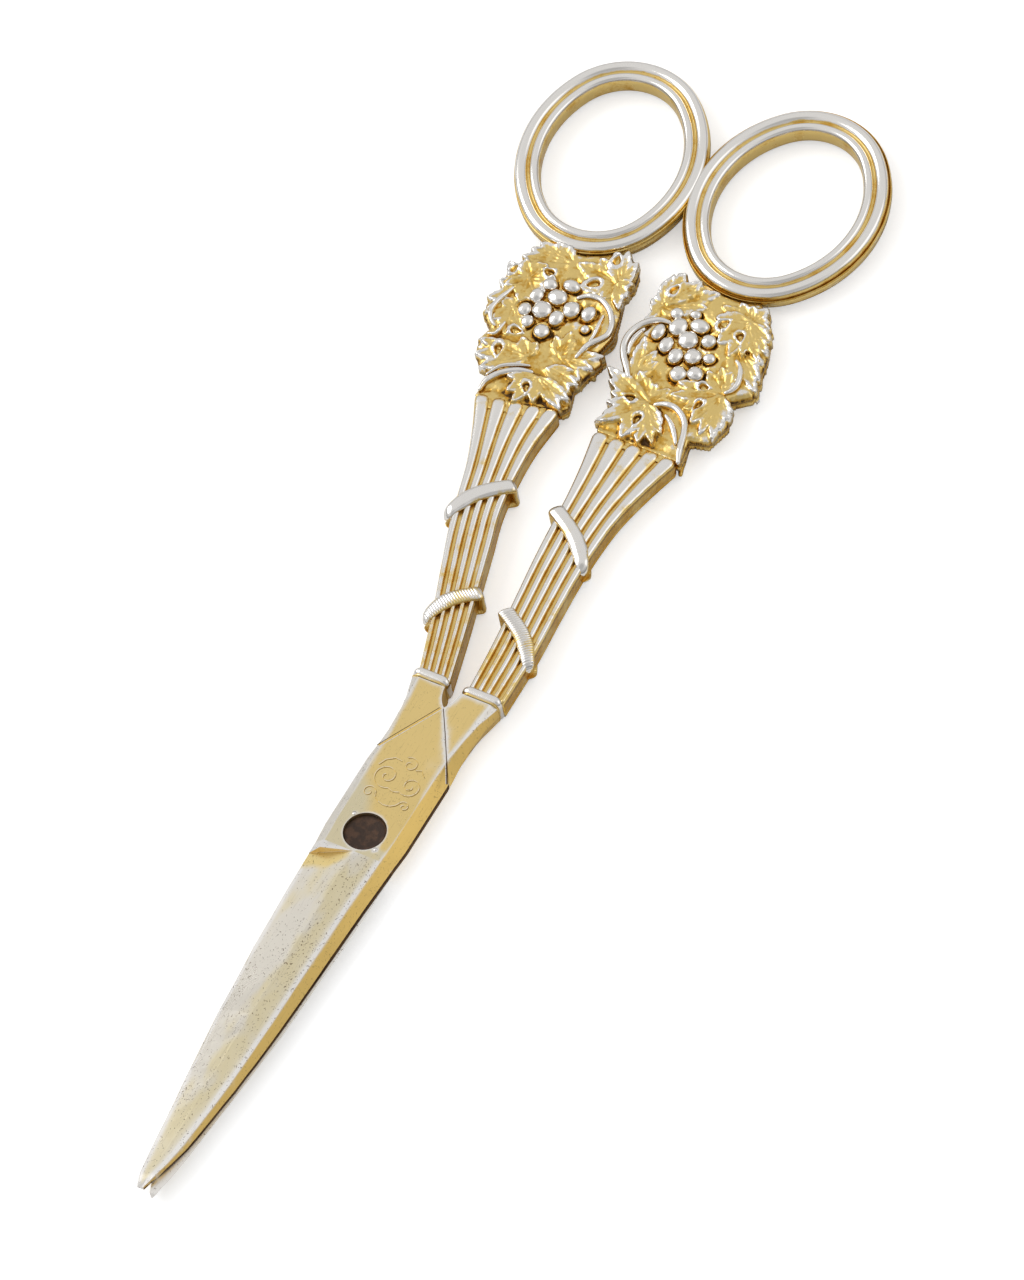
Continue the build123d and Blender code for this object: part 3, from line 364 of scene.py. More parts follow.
def gilding_wear():
    """Gilding rubbed to silver on high spots, a darker gold of painted shade where little rubbed, and dark in the
    hollows, by the surface's rub.
    """
    inputs = (
        ("Rub", "NodeSocketFloat", 0.5),
        ("Gilt", "NodeSocketColor", GILT),
        ("Deep Gilt", "NodeSocketColor", PAINTED_SHADE_GILT),
        ("Silver", "NodeSocketColor", SILVER),
        ("Patina", "NodeSocketColor", PATINA),
        ("Silver From", "NodeSocketFloat", 0.62),
        ("Silver Full", "NodeSocketFloat", 0.82),
        ("Gilt From", "NodeSocketFloat", 0.24),
        ("Gilt Full", "NodeSocketFloat", 0.47),
        ("Patina From", "NodeSocketFloat", 0.24),
        ("Patina Full", "NodeSocketFloat", 0.04),
        ("Speckle", "NodeSocketFloat", 0.4),
    )
    outputs = (("Color", "NodeSocketColor"), ("Roughness", "NodeSocketFloat"), ("Height", "NodeSocketFloat"))
    group, given, result = new_group("gilding_wear", inputs, outputs)
    patches = object_noise(group, 0.35, 4.0)
    grain = object_noise(group, 2.6, 4.0)
    pits = object_noise(group, 5.5, 2.0)
    speckle = maths(group, "MULTIPLY", maths(group, "SUBTRACT", grain, 0.5), given.outputs["Speckle"])
    uneven = maths(group, "ADD", maths(group, "MULTIPLY", patches, 0.8), speckle)
    rub = maths(group, "ADD", given.outputs["Rub"], maths(group, "SUBTRACT", uneven, 0.40))
    silver = step_between(group, rub, given.outputs["Silver From"], given.outputs["Silver Full"])
    hollow = step_between(group, rub, given.outputs["Patina Full"], given.outputs["Patina From"])
    dark = maths(group, "SUBTRACT", 1.0, hollow)
    bright = step_between(group, rub, given.outputs["Gilt From"], given.outputs["Gilt Full"])
    # Little rubbed gilding turns to the darker gold of painted shade
    gold = blend_colours(group, bright, given.outputs["Deep Gilt"], given.outputs["Gilt"])
    metal = blend_colours(group, silver, gold, given.outputs["Silver"])
    colour = blend_colours(group, dark, metal, given.outputs["Patina"])
    rough = maths(group, "ADD", 0.2, maths(group, "MULTIPLY", patches, 0.16))
    rough = maths(group, "ADD", rough, maths(group, "MULTIPLY", dark, 0.35))
    rough = maths(group, "SUBTRACT", rough, maths(group, "MULTIPLY", silver, 0.10))
    pitted = step_between(group, pits, 0.72, 0.80)
    height = maths(group, "SUBTRACT", maths(group, "MULTIPLY", grain, 0.5), pitted)
    group.links.new(colour, result.inputs["Color"])
    group.links.new(rough, result.inputs["Roughness"])
    group.links.new(height, result.inputs["Height"])
    return group


def hand_scratches():
    """Fine scratches along the blades, and scattered dark pits."""
    inputs = (("Density", "NodeSocketFloat", 0.5), ("Pit Strength", "NodeSocketFloat", 1.0))
    outputs = (("Scratches", "NodeSocketFloat"), ("Pits", "NodeSocketFloat"), ("Height", "NodeSocketFloat"))
    group, given, result = new_group("hand_scratches", inputs, outputs)
    lengthwise = object_noise(group, 1.0, 3.0, (9.0, 0.28, 9.0))
    spots = object_noise(group, 3.4, 1.0)
    clusters = object_noise(group, 0.16, 2.0)
    scratches = step_between(group, lengthwise, 0.60, 0.72)
    crowd = maths(group, "MULTIPLY", maths(group, "SUBTRACT", clusters, 0.5), given.outputs["Density"])
    pits = step_between(group, maths(group, "ADD", spots, crowd), 0.70, 0.74)
    for turn in (35, -40):
        nicks = object_noise(group, 1.0, 1.0, (7.0, 1.7, 1.0), turn)
        nicks = step_between(group, maths(group, "ADD", nicks, crowd), 0.70, 0.74)
        pits = maths(group, "MAXIMUM", pits, nicks)
    pits = maths(group, "MULTIPLY", pits, given.outputs["Pit Strength"])
    height = maths(group, "ADD", maths(group, "MULTIPLY", scratches, 0.35), pits)
    group.links.new(scratches, result.inputs["Scratches"])
    group.links.new(pits, result.inputs["Pits"])
    group.links.new(maths(group, "MULTIPLY", height, -1.0), result.inputs["Height"])
    return group


WEAR = gilding_wear()
SCRATCHES = hand_scratches()


def new_material(name, metallic, roughness):
    """A material with its Principled shader."""
    material = bpy.data.materials.new(name)
    material.use_nodes = True
    shader = material.node_tree.nodes["Principled BSDF"]
    shader.inputs["Metallic"].default_value = metallic
    shader.inputs["Roughness"].default_value = roughness
    return material, material.node_tree, shader


def add_bump(tree, shader, height, distance):
    """Fine relief on the surface, its depth in millimetres."""
    bump = add_node(tree, "ShaderNodeBump", Strength=0.6)
    bump.inputs["Distance"].default_value = distance * MM
    tree.links.new(height, bump.inputs["Height"])
    tree.links.new(bump.outputs["Normal"], shader.inputs["Normal"])


def place_wear(tree, **settings):
    """The gilding wear in a material, fed by the piece's own rub attribute."""
    wear = tree.nodes.new("ShaderNodeGroup")
    wear.node_tree = WEAR
    for name, value in settings.items():
        wear.inputs[name.replace("_", " ").title()].default_value = value
    return wear


def worn_metal(name, depth, **settings):
    """Gilt metal whose wear follows the rub attribute of its mesh."""
    material, tree, shader = new_material(name, 1.0, 0.3)
    wear = place_wear(tree, **settings)
    rub = add_node(tree, "ShaderNodeAttribute", attribute_name="rub")
    tree.links.new(rub.outputs["Fac"], wear.inputs["Rub"])
    tree.links.new(wear.outputs["Color"], shader.inputs["Base Color"])
    tree.links.new(wear.outputs["Roughness"], shader.inputs["Roughness"])
    add_bump(tree, shader, wear.outputs["Height"], depth)
    return material


def along_shears(tree, lean, low, high):
    """A soft step from 0 to 1 between two places along the shears, in millimetres, slanting by the lean."""
    place = tree.nodes.new("ShaderNodeTexCoord")
    parts = tree.nodes.new("ShaderNodeSeparateXYZ")
    tree.links.new(place.outputs["Object"], parts.inputs[0])
    slanted = maths(tree, "ADD", parts.outputs["Y"], maths(tree, "MULTIPLY", parts.outputs["X"], lean))
    return step_between(tree, slanted, low * MM, high * MM)


def ground_metal(name, base, patch, patch_from, density, gilt_where=(), gold=PALE_GILT, pitted=1.0, rough_from=0.2,
                 silver_edge=(0.35, 1.1, 2.0), gilt_over_edges=False):
    """Flat metal with scratches, pits and patches of another colour, gilt where the slanting steps add up."""
    material, tree, shader = new_material(name, 1.0, 0.25)
    marks = tree.nodes.new("ShaderNodeGroup")
    marks.node_tree = SCRATCHES
    marks.inputs["Density"].default_value = density
    marks.inputs["Pit Strength"].default_value = pitted
    patches = object_noise(tree, 0.11, 4.0, (1.4, 0.6, 1.0))
    share = step_between(tree, patches, patch_from, patch_from + 0.16)
    colour = blend_colours(tree, share, base, patch)
    rub = add_node(tree, "ShaderNodeAttribute", attribute_name="rub")
    low, full, uneven = silver_edge
    edges = maths(tree, "MULTIPLY", maths(tree, "SUBTRACT", patches, 0.5), uneven)
    edges = maths(tree, "ADD", rub.outputs["Fac"], edges)
    layers = [(step_between(tree, edges, low, full), SILVER)]
    if gilt_where:
        reach = maths(tree, "MULTIPLY", patches, 0.9)
        for weight, *step in gilt_where:
            reach = maths(tree, "ADD", reach, maths(tree, "MULTIPLY", along_shears(tree, *step), weight))
        layers.insert(1 if gilt_over_edges else 0, (step_between(tree, reach, 0.7, 1.15), gold))
    for cover, layer_colour in layers:
        colour = blend_colours(tree, cover, colour, layer_colour)
    colour = blend_colours(tree, maths(tree, "MULTIPLY", marks.outputs["Scratches"], 0.16), colour, PATINA)
    colour = blend_colours(tree, maths(tree, "MULTIPLY", marks.outputs["Pits"], 0.8), colour, PATINA)
    rough = maths(tree, "ADD", rough_from, maths(tree, "MULTIPLY", patches, 0.2))
    tree.links.new(colour, shader.inputs["Base Color"])
    tree.links.new(rough, shader.inputs["Roughness"])
    add_bump(tree, shader, marks.outputs["Height"], 0.02)
    return material


def browned_steel():
    """The rivet's rough brown steel."""
    material, tree, shader = new_material("browned_steel", 0.6, 0.55)
    patches = object_noise(tree, 0.9, 4.0)
    grain = object_noise(tree, 4.0, 4.0)
    colour = blend_colours(tree, step_between(tree, patches, 0.42, 0.62), BROWN_STEEL, RUST)
    tree.links.new(colour, shader.inputs["Base Color"])
    tree.links.new(maths(tree, "ADD", 0.35, maths(tree, "MULTIPLY", grain, 0.35)), shader.inputs["Roughness"])
    add_bump(tree, shader, grain, 0.06)
    return material


CAST_GILT = worn_metal("cast_gilt", 0.03)
REED_METAL = worn_metal("reed_silver_and_gilt_grooves", 0.014, patina_from=0.2, patina_full=0.0, speckle=0.2)
RING_METAL = worn_metal("ring_silver_and_gilt", 0.012, patina_from=0.12, patina_full=-0.1, speckle=0.25)
WRAP_METAL = worn_metal("wrap_silver", 0.012, patina_from=0.2, patina_full=0.0, speckle=0.25)
# The gilding under the ledge: it fades down the blade, ends at the ledge, and fades across to the spine
UNDER_LEDGE = ((1, -0.3, -7.6, -3.7), (-1, -0.3, -3.3, -3.15), (-1, 100.0, -250.0, 200.0))
PLATE_GILT = ground_metal("plate_gilt", WORN_GILT, PALE_GILT, 0.52, 0.15,
                          ((1, 1.6, -7.0, 9.0), (-1, 0.0, -0.8, -3.2)), PLATE_GOLD, pitted=0.3)
BLADE_FACE = ground_metal("blade_face_silver", GROUND_SILVER, WORN_GILT, 0.44, 0.15, UNDER_LEDGE,
                          silver_edge=(0.06, 0.5, 0.7), gilt_over_edges=True)
SPINE_GILT = ground_metal("spine_gilt", PALE_GILT, WORN_GILT, 0.56, 0.15, ((1, 0.0, -75.0, -48.0),), SPINE_GOLD,
                          pitted=0.4, rough_from=0.34, silver_edge=(0.6, 1.35, 1.4))
LAP_SILVER = ground_metal("lap_silver", GROUND_SILVER, SILVER, 0.5, 0.3)
EDGE_SILVER_AND_HIGHLIGHT = ground_metal("edge_silver_and_highlight", SILVER, GROUND_SILVER, 0.55, 0.2)
LINE_SHADOW = worn_metal("line_shadow", 0.01, gilt=BROWN_STEEL, deep_gilt=BROWN_STEEL, silver=PATINA)
STEEL = browned_steel()


# Meshes
def grid_faces(rows, columns, ring=False):
    """Quads between rows that are closed loops. A ring joins its last row to its first, a bar gets two end faces."""
    faces = []
    for row in range(rows if ring else rows - 1):
        after = (row + 1) % rows
        for column in range(columns):
            beside = (column + 1) % columns
            faces.append((row * columns + column, row * columns + beside,
                          after * columns + beside, after * columns + column))
    if not ring:
        faces.append(tuple(range(columns)))
        faces.append(tuple(range((rows - 1) * columns, rows * columns)))
    return faces


def metal_piece(name, arm, material, points, faces, replaced=(), rub=None):
    """A closed smooth mesh from points in millimetres, on its arm, with its finish and the nodes it stands for."""
    mesh = bpy.data.meshes.new(name)
    mesh.from_pydata((np.array(points, dtype=float) * MM).tolist(), [], faces)
    if rub is not None:
        store_rub(mesh, rub)
    outward(mesh)
    mesh.shade_smooth()
    mesh.materials.append(material)
    return finished(mesh, name, arm, replaced)


def outward(mesh):
    """Points all faces of a closed mesh outwards."""
    work = bmesh.new()
    work.from_mesh(mesh)
    bmesh.ops.recalc_face_normals(work, faces=work.faces)
    work.to_mesh(mesh)
    work.free()


def store_rub(mesh, rub):
    """Keeps on each point of a mesh how much it is rubbed."""
    layer = mesh.attributes.new("rub", "FLOAT", "POINT")
    layer.data.foreach_set("value", np.array(rub, dtype=np.float32))


def new_object(name, data):
    """A new object in the scene."""
    item = bpy.data.objects.new(name, data)
    bpy.context.scene.collection.objects.link(item)
    return item


def applied(carrier):
    """The mesh that an object's modifier makes. The object itself goes."""
    depsgraph = bpy.context.evaluated_depsgraph_get()
    made = bpy.data.meshes.new_from_object(carrier.evaluated_get(depsgraph))
    bpy.data.objects.remove(carrier)
    return made


def finished(mesh, name, arm, replaced):
    """The mesh as an object that rides on its arm."""
    piece = new_object(name, mesh)
    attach(piece, f"{arm}_arm")
    if replaced:
        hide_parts(*replaced)
    return piece


def smooth_rows(rows, up):
    """The row at a share of the length, on a smooth curve through the given rows."""
    table = np.array(rows, dtype=float)
    slopes = np.gradient(table[:, 1:], table[:, 0], axis=0)
    number = min(max(np.searchsorted(table[:, 0], up) - 1, 0), len(table) - 2)
    low, high = table[number], table[number + 1]
    width = high[0] - low[0]
    part = (up - low[0]) / width
    first = 2 * part**3 - 3 * part**2 + 1
    return (first * low[1:] + (part**3 - 2 * part**2 + part) * width * slopes[number]
            + (1 - first) * high[1:] + (part**3 - part**2) * width * slopes[number + 1])


def stem_edges(arm, up):
    """The centre of the stem at a share of its length, and half its width as a vector."""
    reach, width, tilt = smooth_rows(STEM_SHARES[arm], up)
    centre = np.array((reach * STEM_REACH[arm], COLLAR_END + up * STEM_LENGTH, 0.0))
    angle = math.radians(tilt)
    return centre, np.array((math.cos(angle), math.sin(angle), 0.0)) * (width * STEM_WIDTH[arm] / 2)


def run_lengths(places):
    """How far along a line of points each of them is."""
    return np.concatenate(([0], np.cumsum(np.linalg.norm(np.diff(places, axis=0), axis=1))))


def round_end(share, least=0.0):
    """How full a rounded end is at a share of its length. The square of the fullness is never under the least."""
    return math.sqrt(max(1 - (1 - min(share, 1)) ** 2, least))


# Stems, wraps and collars
REED_ARC = (-1.0, -0.97, -0.9, -0.78, -0.55, -0.25, 0.0, 0.25, 0.55, 0.78, 0.9, 0.97, 1.0)
GROOVE_LANES = (0.1, 0.5, 0.9)


def reed_profile(fullness, wide, shine):
    """Across the face of a stem: places from -1 to 1, heights, and rub. Reeds fill the share wide of their lanes."""
    across, heights, rubs = [], [], []
    half = wide / REED_COUNT
    pitch = (2 - 2 * half) / (REED_COUNT - 1)
    for number in range(REED_COUNT):
        centre = half - 1 + number * pitch
        for arc in REED_ARC:
            crown = max(1 - abs(arc) ** 2.3, 0.0) ** 0.5
            across.append(centre + arc * half * (0.3 + 0.7 * fullness))
            heights.append(REED_HEIGHT * crown * fullness)
            rubs.append(0.27 + (shine - 0.03) * min(crown * 1.3, 1.0) ** 1.5 * fullness)
        for lane in GROOVE_LANES:
            across.append(centre + half + lane * (pitch - 2 * half))
            heights.append(0.0)
            # Groove floors are gilt, with darker gold at their sides: painted shade in the corners
            rubs.append(0.53 - 0.12 * abs(lane - 0.5) / 0.4)
    return across[:-3], heights[:-3], rubs[:-3]


def reeded_stem(arm):
    """The five-reed stem, reeded front and back, with rounded noses at the head."""
    end = 1 + NOSE_REACH[arm] / STEM_LENGTH
    nose = NOSE_LENGTH / STEM_LENGTH
    ups = [*np.linspace(-0.016, end - nose, 90), *(end - nose * np.linspace(0.93, 0, 14) ** 1.5)]
    axis = stem_edges(arm, 1.0)[0] - stem_edges(arm, 0.97)[0]
    axis = axis / axis[1]
    points, rub = [], []
    for up in ups:
        centre, half = stem_edges(arm, min(up, 1.0))
        centre = centre + axis * max(up - 1.0, 0.0) * STEM_LENGTH
        fullness = round_end((end - up) / nose)
        low, high = REED_WIDTH_SHARES
        broad = low + (high - low) * max(min(up, 1.0), 0.0) ** 1.2
        across, heights, rubs = reed_profile(fullness, broad, 0.50 + 0.14 * min(up * 1.6, 1.0))
        floor = STEM_HALF_THICKNESS - REED_HEIGHT
        for side in (1, -1):
            order = range(len(across)) if side > 0 else range(len(across) - 1, -1, -1)
            for number in order:
                point = centre + half * across[number]
                points.append((point[0], point[1], MIDDLE + side * (floor + heights[number])))
                rub.append(rubs[number])
            edge = half * side
            for share in (1.0, 0.5, -0.5, -1.0):
                point = centre + edge * (1.0 if abs(share) < 1 else 0.985) * (0.9 + 0.1 * fullness)
                points.append((point[0], point[1], MIDDLE + side * share * floor * 0.97))
                # Side walls get little rub, so darker gold: painted shade
                rub.append(0.31)
    columns = len(points) // len(ups)
    return metal_piece(f"{arm}_reeded_stem_shaped", arm, REED_METAL, points,
                       grid_faces(len(ups), columns), (f"{arm}_reeded_stem",), rub)


def band_section(place, out, side, half_width, half_thickness, count=18):
    """A flattened round section about a place, across the band and out of it."""
    ring = []
    for number in range(count):
        angle = 2 * math.pi * number / count
        across = abs(math.cos(angle)) ** 0.85 * math.copysign(1, math.cos(angle))
        ring.append(place + side * (across * half_width) + out * (math.sin(angle) * half_thickness))
    return ring


def wrap_route(arm, ends):
    """The line of a wrap: over the face, round the inner side, and back over the back."""
    side = -1 if arm == "front" else 1
    centre, half = stem_edges(arm, ends[0])
    outer = centre + half * side
    centre, half = stem_edges(arm, ends[1])
    inner = centre - half * side
    line = (inner - outer) / np.linalg.norm(inner - outer)
    square = np.array((line[1], -line[0], 0.0))
    outer = outer - line * WRAP_OVERHANG[arm]
    span = inner - outer
    upward = np.array((0.0, 0.0, 1.0))
    level = STEM_HALF_THICKNESS - 0.05
    route = []
    for far in np.linspace(0, 1, 40):
        bow = math.sin(math.pi * far) * WRAP_BOW[arm] * side
        lift = level - 0.9 * (1 - min(far / 0.16, 1)) ** 2
        route.append((outer + span * far + square * bow + upward * lift, upward))
    for angle in np.linspace(0, math.pi / 2, 9)[1:]:
        out = line * math.sin(angle) + upward * math.cos(angle)
        place = inner + line * 0.3 * math.sin(angle) + upward * (level - 0.3 * (1 - math.cos(angle)))
        route.append((place, out))
    for height in np.linspace(level - 0.3, -(level - 0.3), 16)[1:-1]:
        route.append((inner + line * 0.3 + upward * height, line))
    back = [(place * np.array((1, 1, -1)), out * np.array((1, 1, -1))) for place, out in reversed(route[:49])]
    return route + back, square


def wrap(arm, place, ribbed):
    """A band that clasps its stem slantwise, open at the outer edge, ribbed across on the lower ones."""
    route, square = wrap_route(arm, WRAP_SHARES[f"{arm}_{place}"])
    places = np.array([point for point, _ in route])
    along = run_lengths(places)
    count = int(along[-1] / (RIB_PITCH / 5 if ribbed else 0.2))
    points, rub = [], []
    for far in np.linspace(0, along[-1], count):
        point = np.array([np.interp(far, along, places[:, axis]) for axis in range(3)])
        out = np.array([np.interp(far, along, [o[axis] for _, o in route]) for axis in range(3)])
        out = out / np.linalg.norm(out)
        to_end = min(far, along[-1] - far) / WRAP_HALF_WIDTH
        full = round_end(to_end, 0.02) * (0.62 + 0.38 * min(to_end / 3.2, 1))
        groove = (0.5 - 0.5 * math.cos(2 * math.pi * far / RIB_PITCH)) if ribbed else 0.0
        thick = WRAP_HALF_THICKNESS * full * (1 + 0.3 * max(out[2], 0)) - RIB_DEPTH * groove * full
        ring = band_section(point, out, square, WRAP_HALF_WIDTH * full, thick)
        points.extend((p[0], p[1], p[2] + MIDDLE) for p in ring)
        for number in range(len(ring)):
            rise = math.sin(2 * math.pi * number / len(ring))
            rub.append(0.44 + 0.5 * max(rise, 0) ** 0.6 - 0.14 * groove)
    columns = len(points) // count
    return metal_piece(f"{arm}_{place}_wrap_shaped", arm, WRAP_METAL, points,
                       grid_faces(count, columns), (f"{arm}_{place}_wrap",), rub)


def rounded_loop(half_width, half_height, radius, count=12):
    """A rectangle with round corners, about the origin."""
    loop = []
    for turn, (across, up) in enumerate(((1, 1), (-1, 1), (-1, -1), (1, -1))):
        for number in range(count):
            angle = math.pi / 2 * (turn + number / (count - 1))
            loop.append((across * (half_width - radius) + radius * math.cos(angle),
                         up * (half_height - radius) + radius * math.sin(angle)))
    return loop


def collar(arm):
    """The half-round band between the shank and the stem, with a thin gilt line at its lower side."""
    low, high = [np.array(corner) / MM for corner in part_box(f"{arm}_collar")]
    middle = (low + high) / 2
    half = (high - low) / 2
    stations = [(-1.0, -0.30), (-0.98, -0.14), (-0.9, -0.10), (-0.82, -0.14), (-0.74, -0.2)]
    arc = np.linspace(0.12, math.pi, 14)
    stations += [(math.cos(angle) * -0.7 + 0.05, 0.32 * (math.sin(angle) - 1)) for angle in arc]
    points, rub = [], []
    for along, grow in stations:
        for across, up in rounded_loop(half[0] + grow, half[2] + grow, 1.0):
            arch = 0.22 * (1 - (across / half[0]) ** 2)
            points.append((middle[0] + across, middle[1] + along * half[1] + arch - 0.1, middle[2] + up))
            rub.append(0.5 if along <= -0.74 else 0.62 + 0.36 * (1 + grow / 0.32))
    columns = len(points) // len(stations)
    return metal_piece(f"{arm}_collar_shaped", arm, WRAP_METAL, points,
                       grid_faces(len(stations), columns), (f"{arm}_collar",), rub)


# Finger rings
def oval_line(half_width, count):
    """Points and outward directions round the four-centred oval."""
    rise = RING_HALF_LENGTH - RING_END_RADIUS
    across = half_width - RING_END_RADIUS
    side_radius = (half_width**2 + rise**2 - RING_END_RADIUS**2) / (2 * across)
    back = side_radius - half_width
    turn = math.atan2(rise, back)
    arcs = (
        (-back, 0, side_radius, -turn, 2 * turn),
        (0, rise, RING_END_RADIUS, turn, math.pi - 2 * turn),
        (back, 0, side_radius, math.pi - turn, 2 * turn),
        (0, -rise, RING_END_RADIUS, math.pi + turn, math.pi - 2 * turn),
    )
    total = sum(radius * sweep for _, _, radius, _, sweep in arcs)
    line = []
    for x, y, radius, start, sweep in arcs:
        steps = max(2, round(count * radius * sweep / total))
        for number in range(steps):
            angle = start + sweep * number / steps
            out = (math.cos(angle), math.sin(angle))
            line.append((x + radius * out[0], y + radius * out[1], out))
    return line


def ring_height(across):
    """Half the thickness of the ring at a distance from its groove: two round beads with a groove between them."""
    height = 0.95 - 0.5 * min(abs(across - 0.2) / 1.65, 1.05) ** 6
    for centre, half, foot, rise in ((-0.75, 0.70, 0.55, 0.96), (0.98, 0.86, 0.55, 0.92)):
        share = abs(across - centre) / half
        if share < 1:
            height = max(height, foot + rise * (1 - share**2.3) ** 0.5)
    return height


def finger_ring(arm):
    """The oval moulded ring: silver beads, gilt groove, and gilt walls with a ridge round the outer one."""
    low, high = [np.array(corner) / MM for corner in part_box(f"{arm}_finger_ring")]
    centre = (low + high) / 2 + np.array((*RING_SHIFT[arm], 0.0))
    lean = math.radians(RING_LEAN[arm])
    wall = RING_OUTER_WALL[arm]
    face = []
    for across in np.linspace(RING_INNER_WALL * 0.995, wall * 0.995, 56):
        height = ring_height(across)
        face.append((across, height, 0.42 + 1.9 * min(max(height - 0.97, 0), 0.28)))
    outer_wall = [(wall - 0.02, 0.62, 0.30), (wall - 0.16, 0.5, 0.14), (wall - 0.02, 0.38, 0.45),
                  (wall + 0.06, 0.2, 0.66), (wall, 0.0, 0.45)]
    outer_wall += [(across, -height, worn) for across, height, worn in reversed(outer_wall[:-1])]
    back = [(across, -height, worn) for across, height, worn in reversed(face)]
    inner_wall = [(RING_INNER_WALL, height, 0.47) for height in (-0.5, 0.0, 0.5)]
    section = face + outer_wall + back + inner_wall
    points, rub = [], []
    line = oval_line(RING_HALF_WIDTH[arm], RING_STATIONS)
    for x, y, out in line:
        for across, height, worn in section:
            flat_x = x + out[0] * across
            flat_y = y + out[1] * across
            points.append((centre[0] + flat_x * math.cos(lean) - flat_y * math.sin(lean),
                           centre[1] + flat_x * math.sin(lean) + flat_y * math.cos(lean), MIDDLE + height))
            rub.append(worn)
    return metal_piece(f"{arm}_finger_ring_shaped", arm, RING_METAL, points,
                       grid_faces(len(line), len(section), ring=True), (f"{arm}_finger_ring",), rub)


# Vine heads
def outline_segments(node):
    """The straight runs of a flat node's outline, from the walls of its solid, in millimetres."""
    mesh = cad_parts[node].data
    runs = set()
    for polygon in mesh.polygons:
        if abs(polygon.normal.z) > 0.1:
            continue
        corners = [mesh.vertices[v].co for v in polygon.vertices]
        places = {(round(corner.x / MM, 3), round(corner.y / MM, 3)) for corner in corners}
        if len(places) == 2:
            runs.add(tuple(sorted(places)))
    return list(runs)


def outline_distance(x, y, runs):
    """How far inside the outline each place is, negative outside."""
    near = np.full(x.shape, 1e9)
    inside = np.zeros(x.shape, dtype=bool)
    for (ax, ay), (bx, by) in runs:
        dx, dy = bx - ax, by - ay
        part = np.clip(((x - ax) * dx + (y - ay) * dy) / (dx * dx + dy * dy), 0, 1)
        near = np.minimum(near, np.hypot(x - ax - part * dx, y - ay - part * dy))
        if ay != by:
            crosses = (ay > y) != (by > y)
            inside ^= crosses & (x < ax + (y - ay) / (by - ay) * dx)
    return np.where(inside, near, -near)


def soft_step(value, low, high):
    """A soft step from 0 to 1 on arrays."""
    part = np.clip((value - low) / (high - low), 0, 1)
    return part * part * (3 - 2 * part)


def blurred(field, reach):
    """The field averaged over a round reach of so many cells."""
    size = int(3 * reach)
    weights = np.exp(-0.5 * (np.arange(-size, size + 1) / reach) ** 2)
    weights = weights / weights.sum()
    padded = np.pad(field, size, mode="edge")
    rows = np.apply_along_axis(lambda line: np.convolve(line, weights, mode="valid"), 0, padded)
    return np.apply_along_axis(lambda line: np.convolve(line, weights, mode="valid"), 1, rows)


def lobe(x, y, stalk, tip, half):
    """One lobe of a leaf: depth inside its edge, share of its length, distance from its vein, half width, tooth."""
    dx, dy = tip[0] - stalk[0], tip[1] - stalk[1]
    length = math.hypot(dx, dy)
    far = ((x - stalk[0]) * dx + (y - stalk[1]) * dy) / length**2
    side = ((x - stalk[0]) * dy - (y - stalk[1]) * dx) / length
    inner = np.clip(far, 0.0, 1.0)
    width = half * (0.45 + 0.65 * soft_step(inner, 0.0, 0.4)) * np.minimum((1 - inner) / 0.42, 1.0) ** 0.62
    place = (far * length - 0.7 * np.minimum(np.abs(side), width)) / TOOTH_LENGTH + 0.4 * (side > 0)
    tooth = 4 * (place % 1.0) * (1 - place % 1.0)
    width = width * (1 - 0.12 * soft_step(inner, 0.25, 0.5) * (1 - tooth))
    beyond = np.maximum(np.abs(far - 0.5) - 0.5, 0) * length
    depth = np.where(beyond > 0, -np.hypot(np.maximum(np.abs(side) - width, 0), beyond), width - np.abs(side))
    return depth, far, side, np.maximum(width, 0.2), tooth


def leaf_relief(x, y, stalk, layer, lobes):
    """Depth inside the leaf's edge, its height over the ground, and the share of the way to a tip."""
    depth = np.full(x.shape, -9.0)
    vein = np.zeros(x.shape)
    reach = np.zeros(x.shape)
    flesh = np.zeros(x.shape)
    for tip_x, tip_y, half in lobes:
        inside, far, side, width, tooth = lobe(x, y, stalk, (tip_x, tip_y), half)
        swell = PILLOW_RISE * np.sin(math.pi * np.clip(np.abs(side) / width, 0, 1)) * soft_step(far, 0.05, 0.4)
        near_edge = np.exp(-np.maximum(inside, 0) / 0.4)
        swell = swell + TOOTH_RISE * (tooth - 0.6) * near_edge * soft_step(far, 0.2, 0.5)
        swell = swell + SIDE_VEIN_RISE * tooth**14 * (1 - near_edge) * soft_step(far, 0.1, 0.3)
        flesh = np.where(inside > depth, swell, flesh)
        reach = np.where(inside > depth, far, reach)
        depth = np.maximum(depth, inside)
        beside = (np.abs(side) - 2.2 * VEIN_WIDTH) / VEIN_WIDTH
        line = np.exp(-((side / VEIN_WIDTH) ** 2)) - 0.6 * np.exp(-(beside**2))
        line = line * (1 - 0.6 * np.clip(far, 0, 1))
        vein = np.where((far > 0) & (far < 0.8), np.where(np.abs(line) > np.abs(vein), line, vein), vein)
    reach = np.clip(reach, 0, 1)
    height = LEAF_LEVEL + layer * LAYER_RISE + flesh + VEIN_STAND * vein + TIP_LIFT * (reach - 0.4)
    height = height + LEAF_RIM * np.exp(-(((depth - 0.2) / 0.16) ** 2)) * (0.3 + reach)
    height = height - LEAF_DISH * soft_step(depth, 0.2, 0.9) * (1 - 0.6 * reach)
    return depth, height, soft_step(reach, 0.55, 0.95)


def drop_eye(x, y, place, heading, long, wide):
    """How far out each place is from a drop-shaped eye: 1 on its rim."""
    turn = math.radians(heading)
    along = (x - place[0]) * math.cos(turn) + (y - place[1]) * math.sin(turn)
    across = -(x - place[0]) * math.sin(turn) + (y - place[1]) * math.cos(turn)
    taper = np.clip(1 - 0.45 * along / long, 0.35, 1.4)
    return np.hypot(along / long, across / (wide * taper))


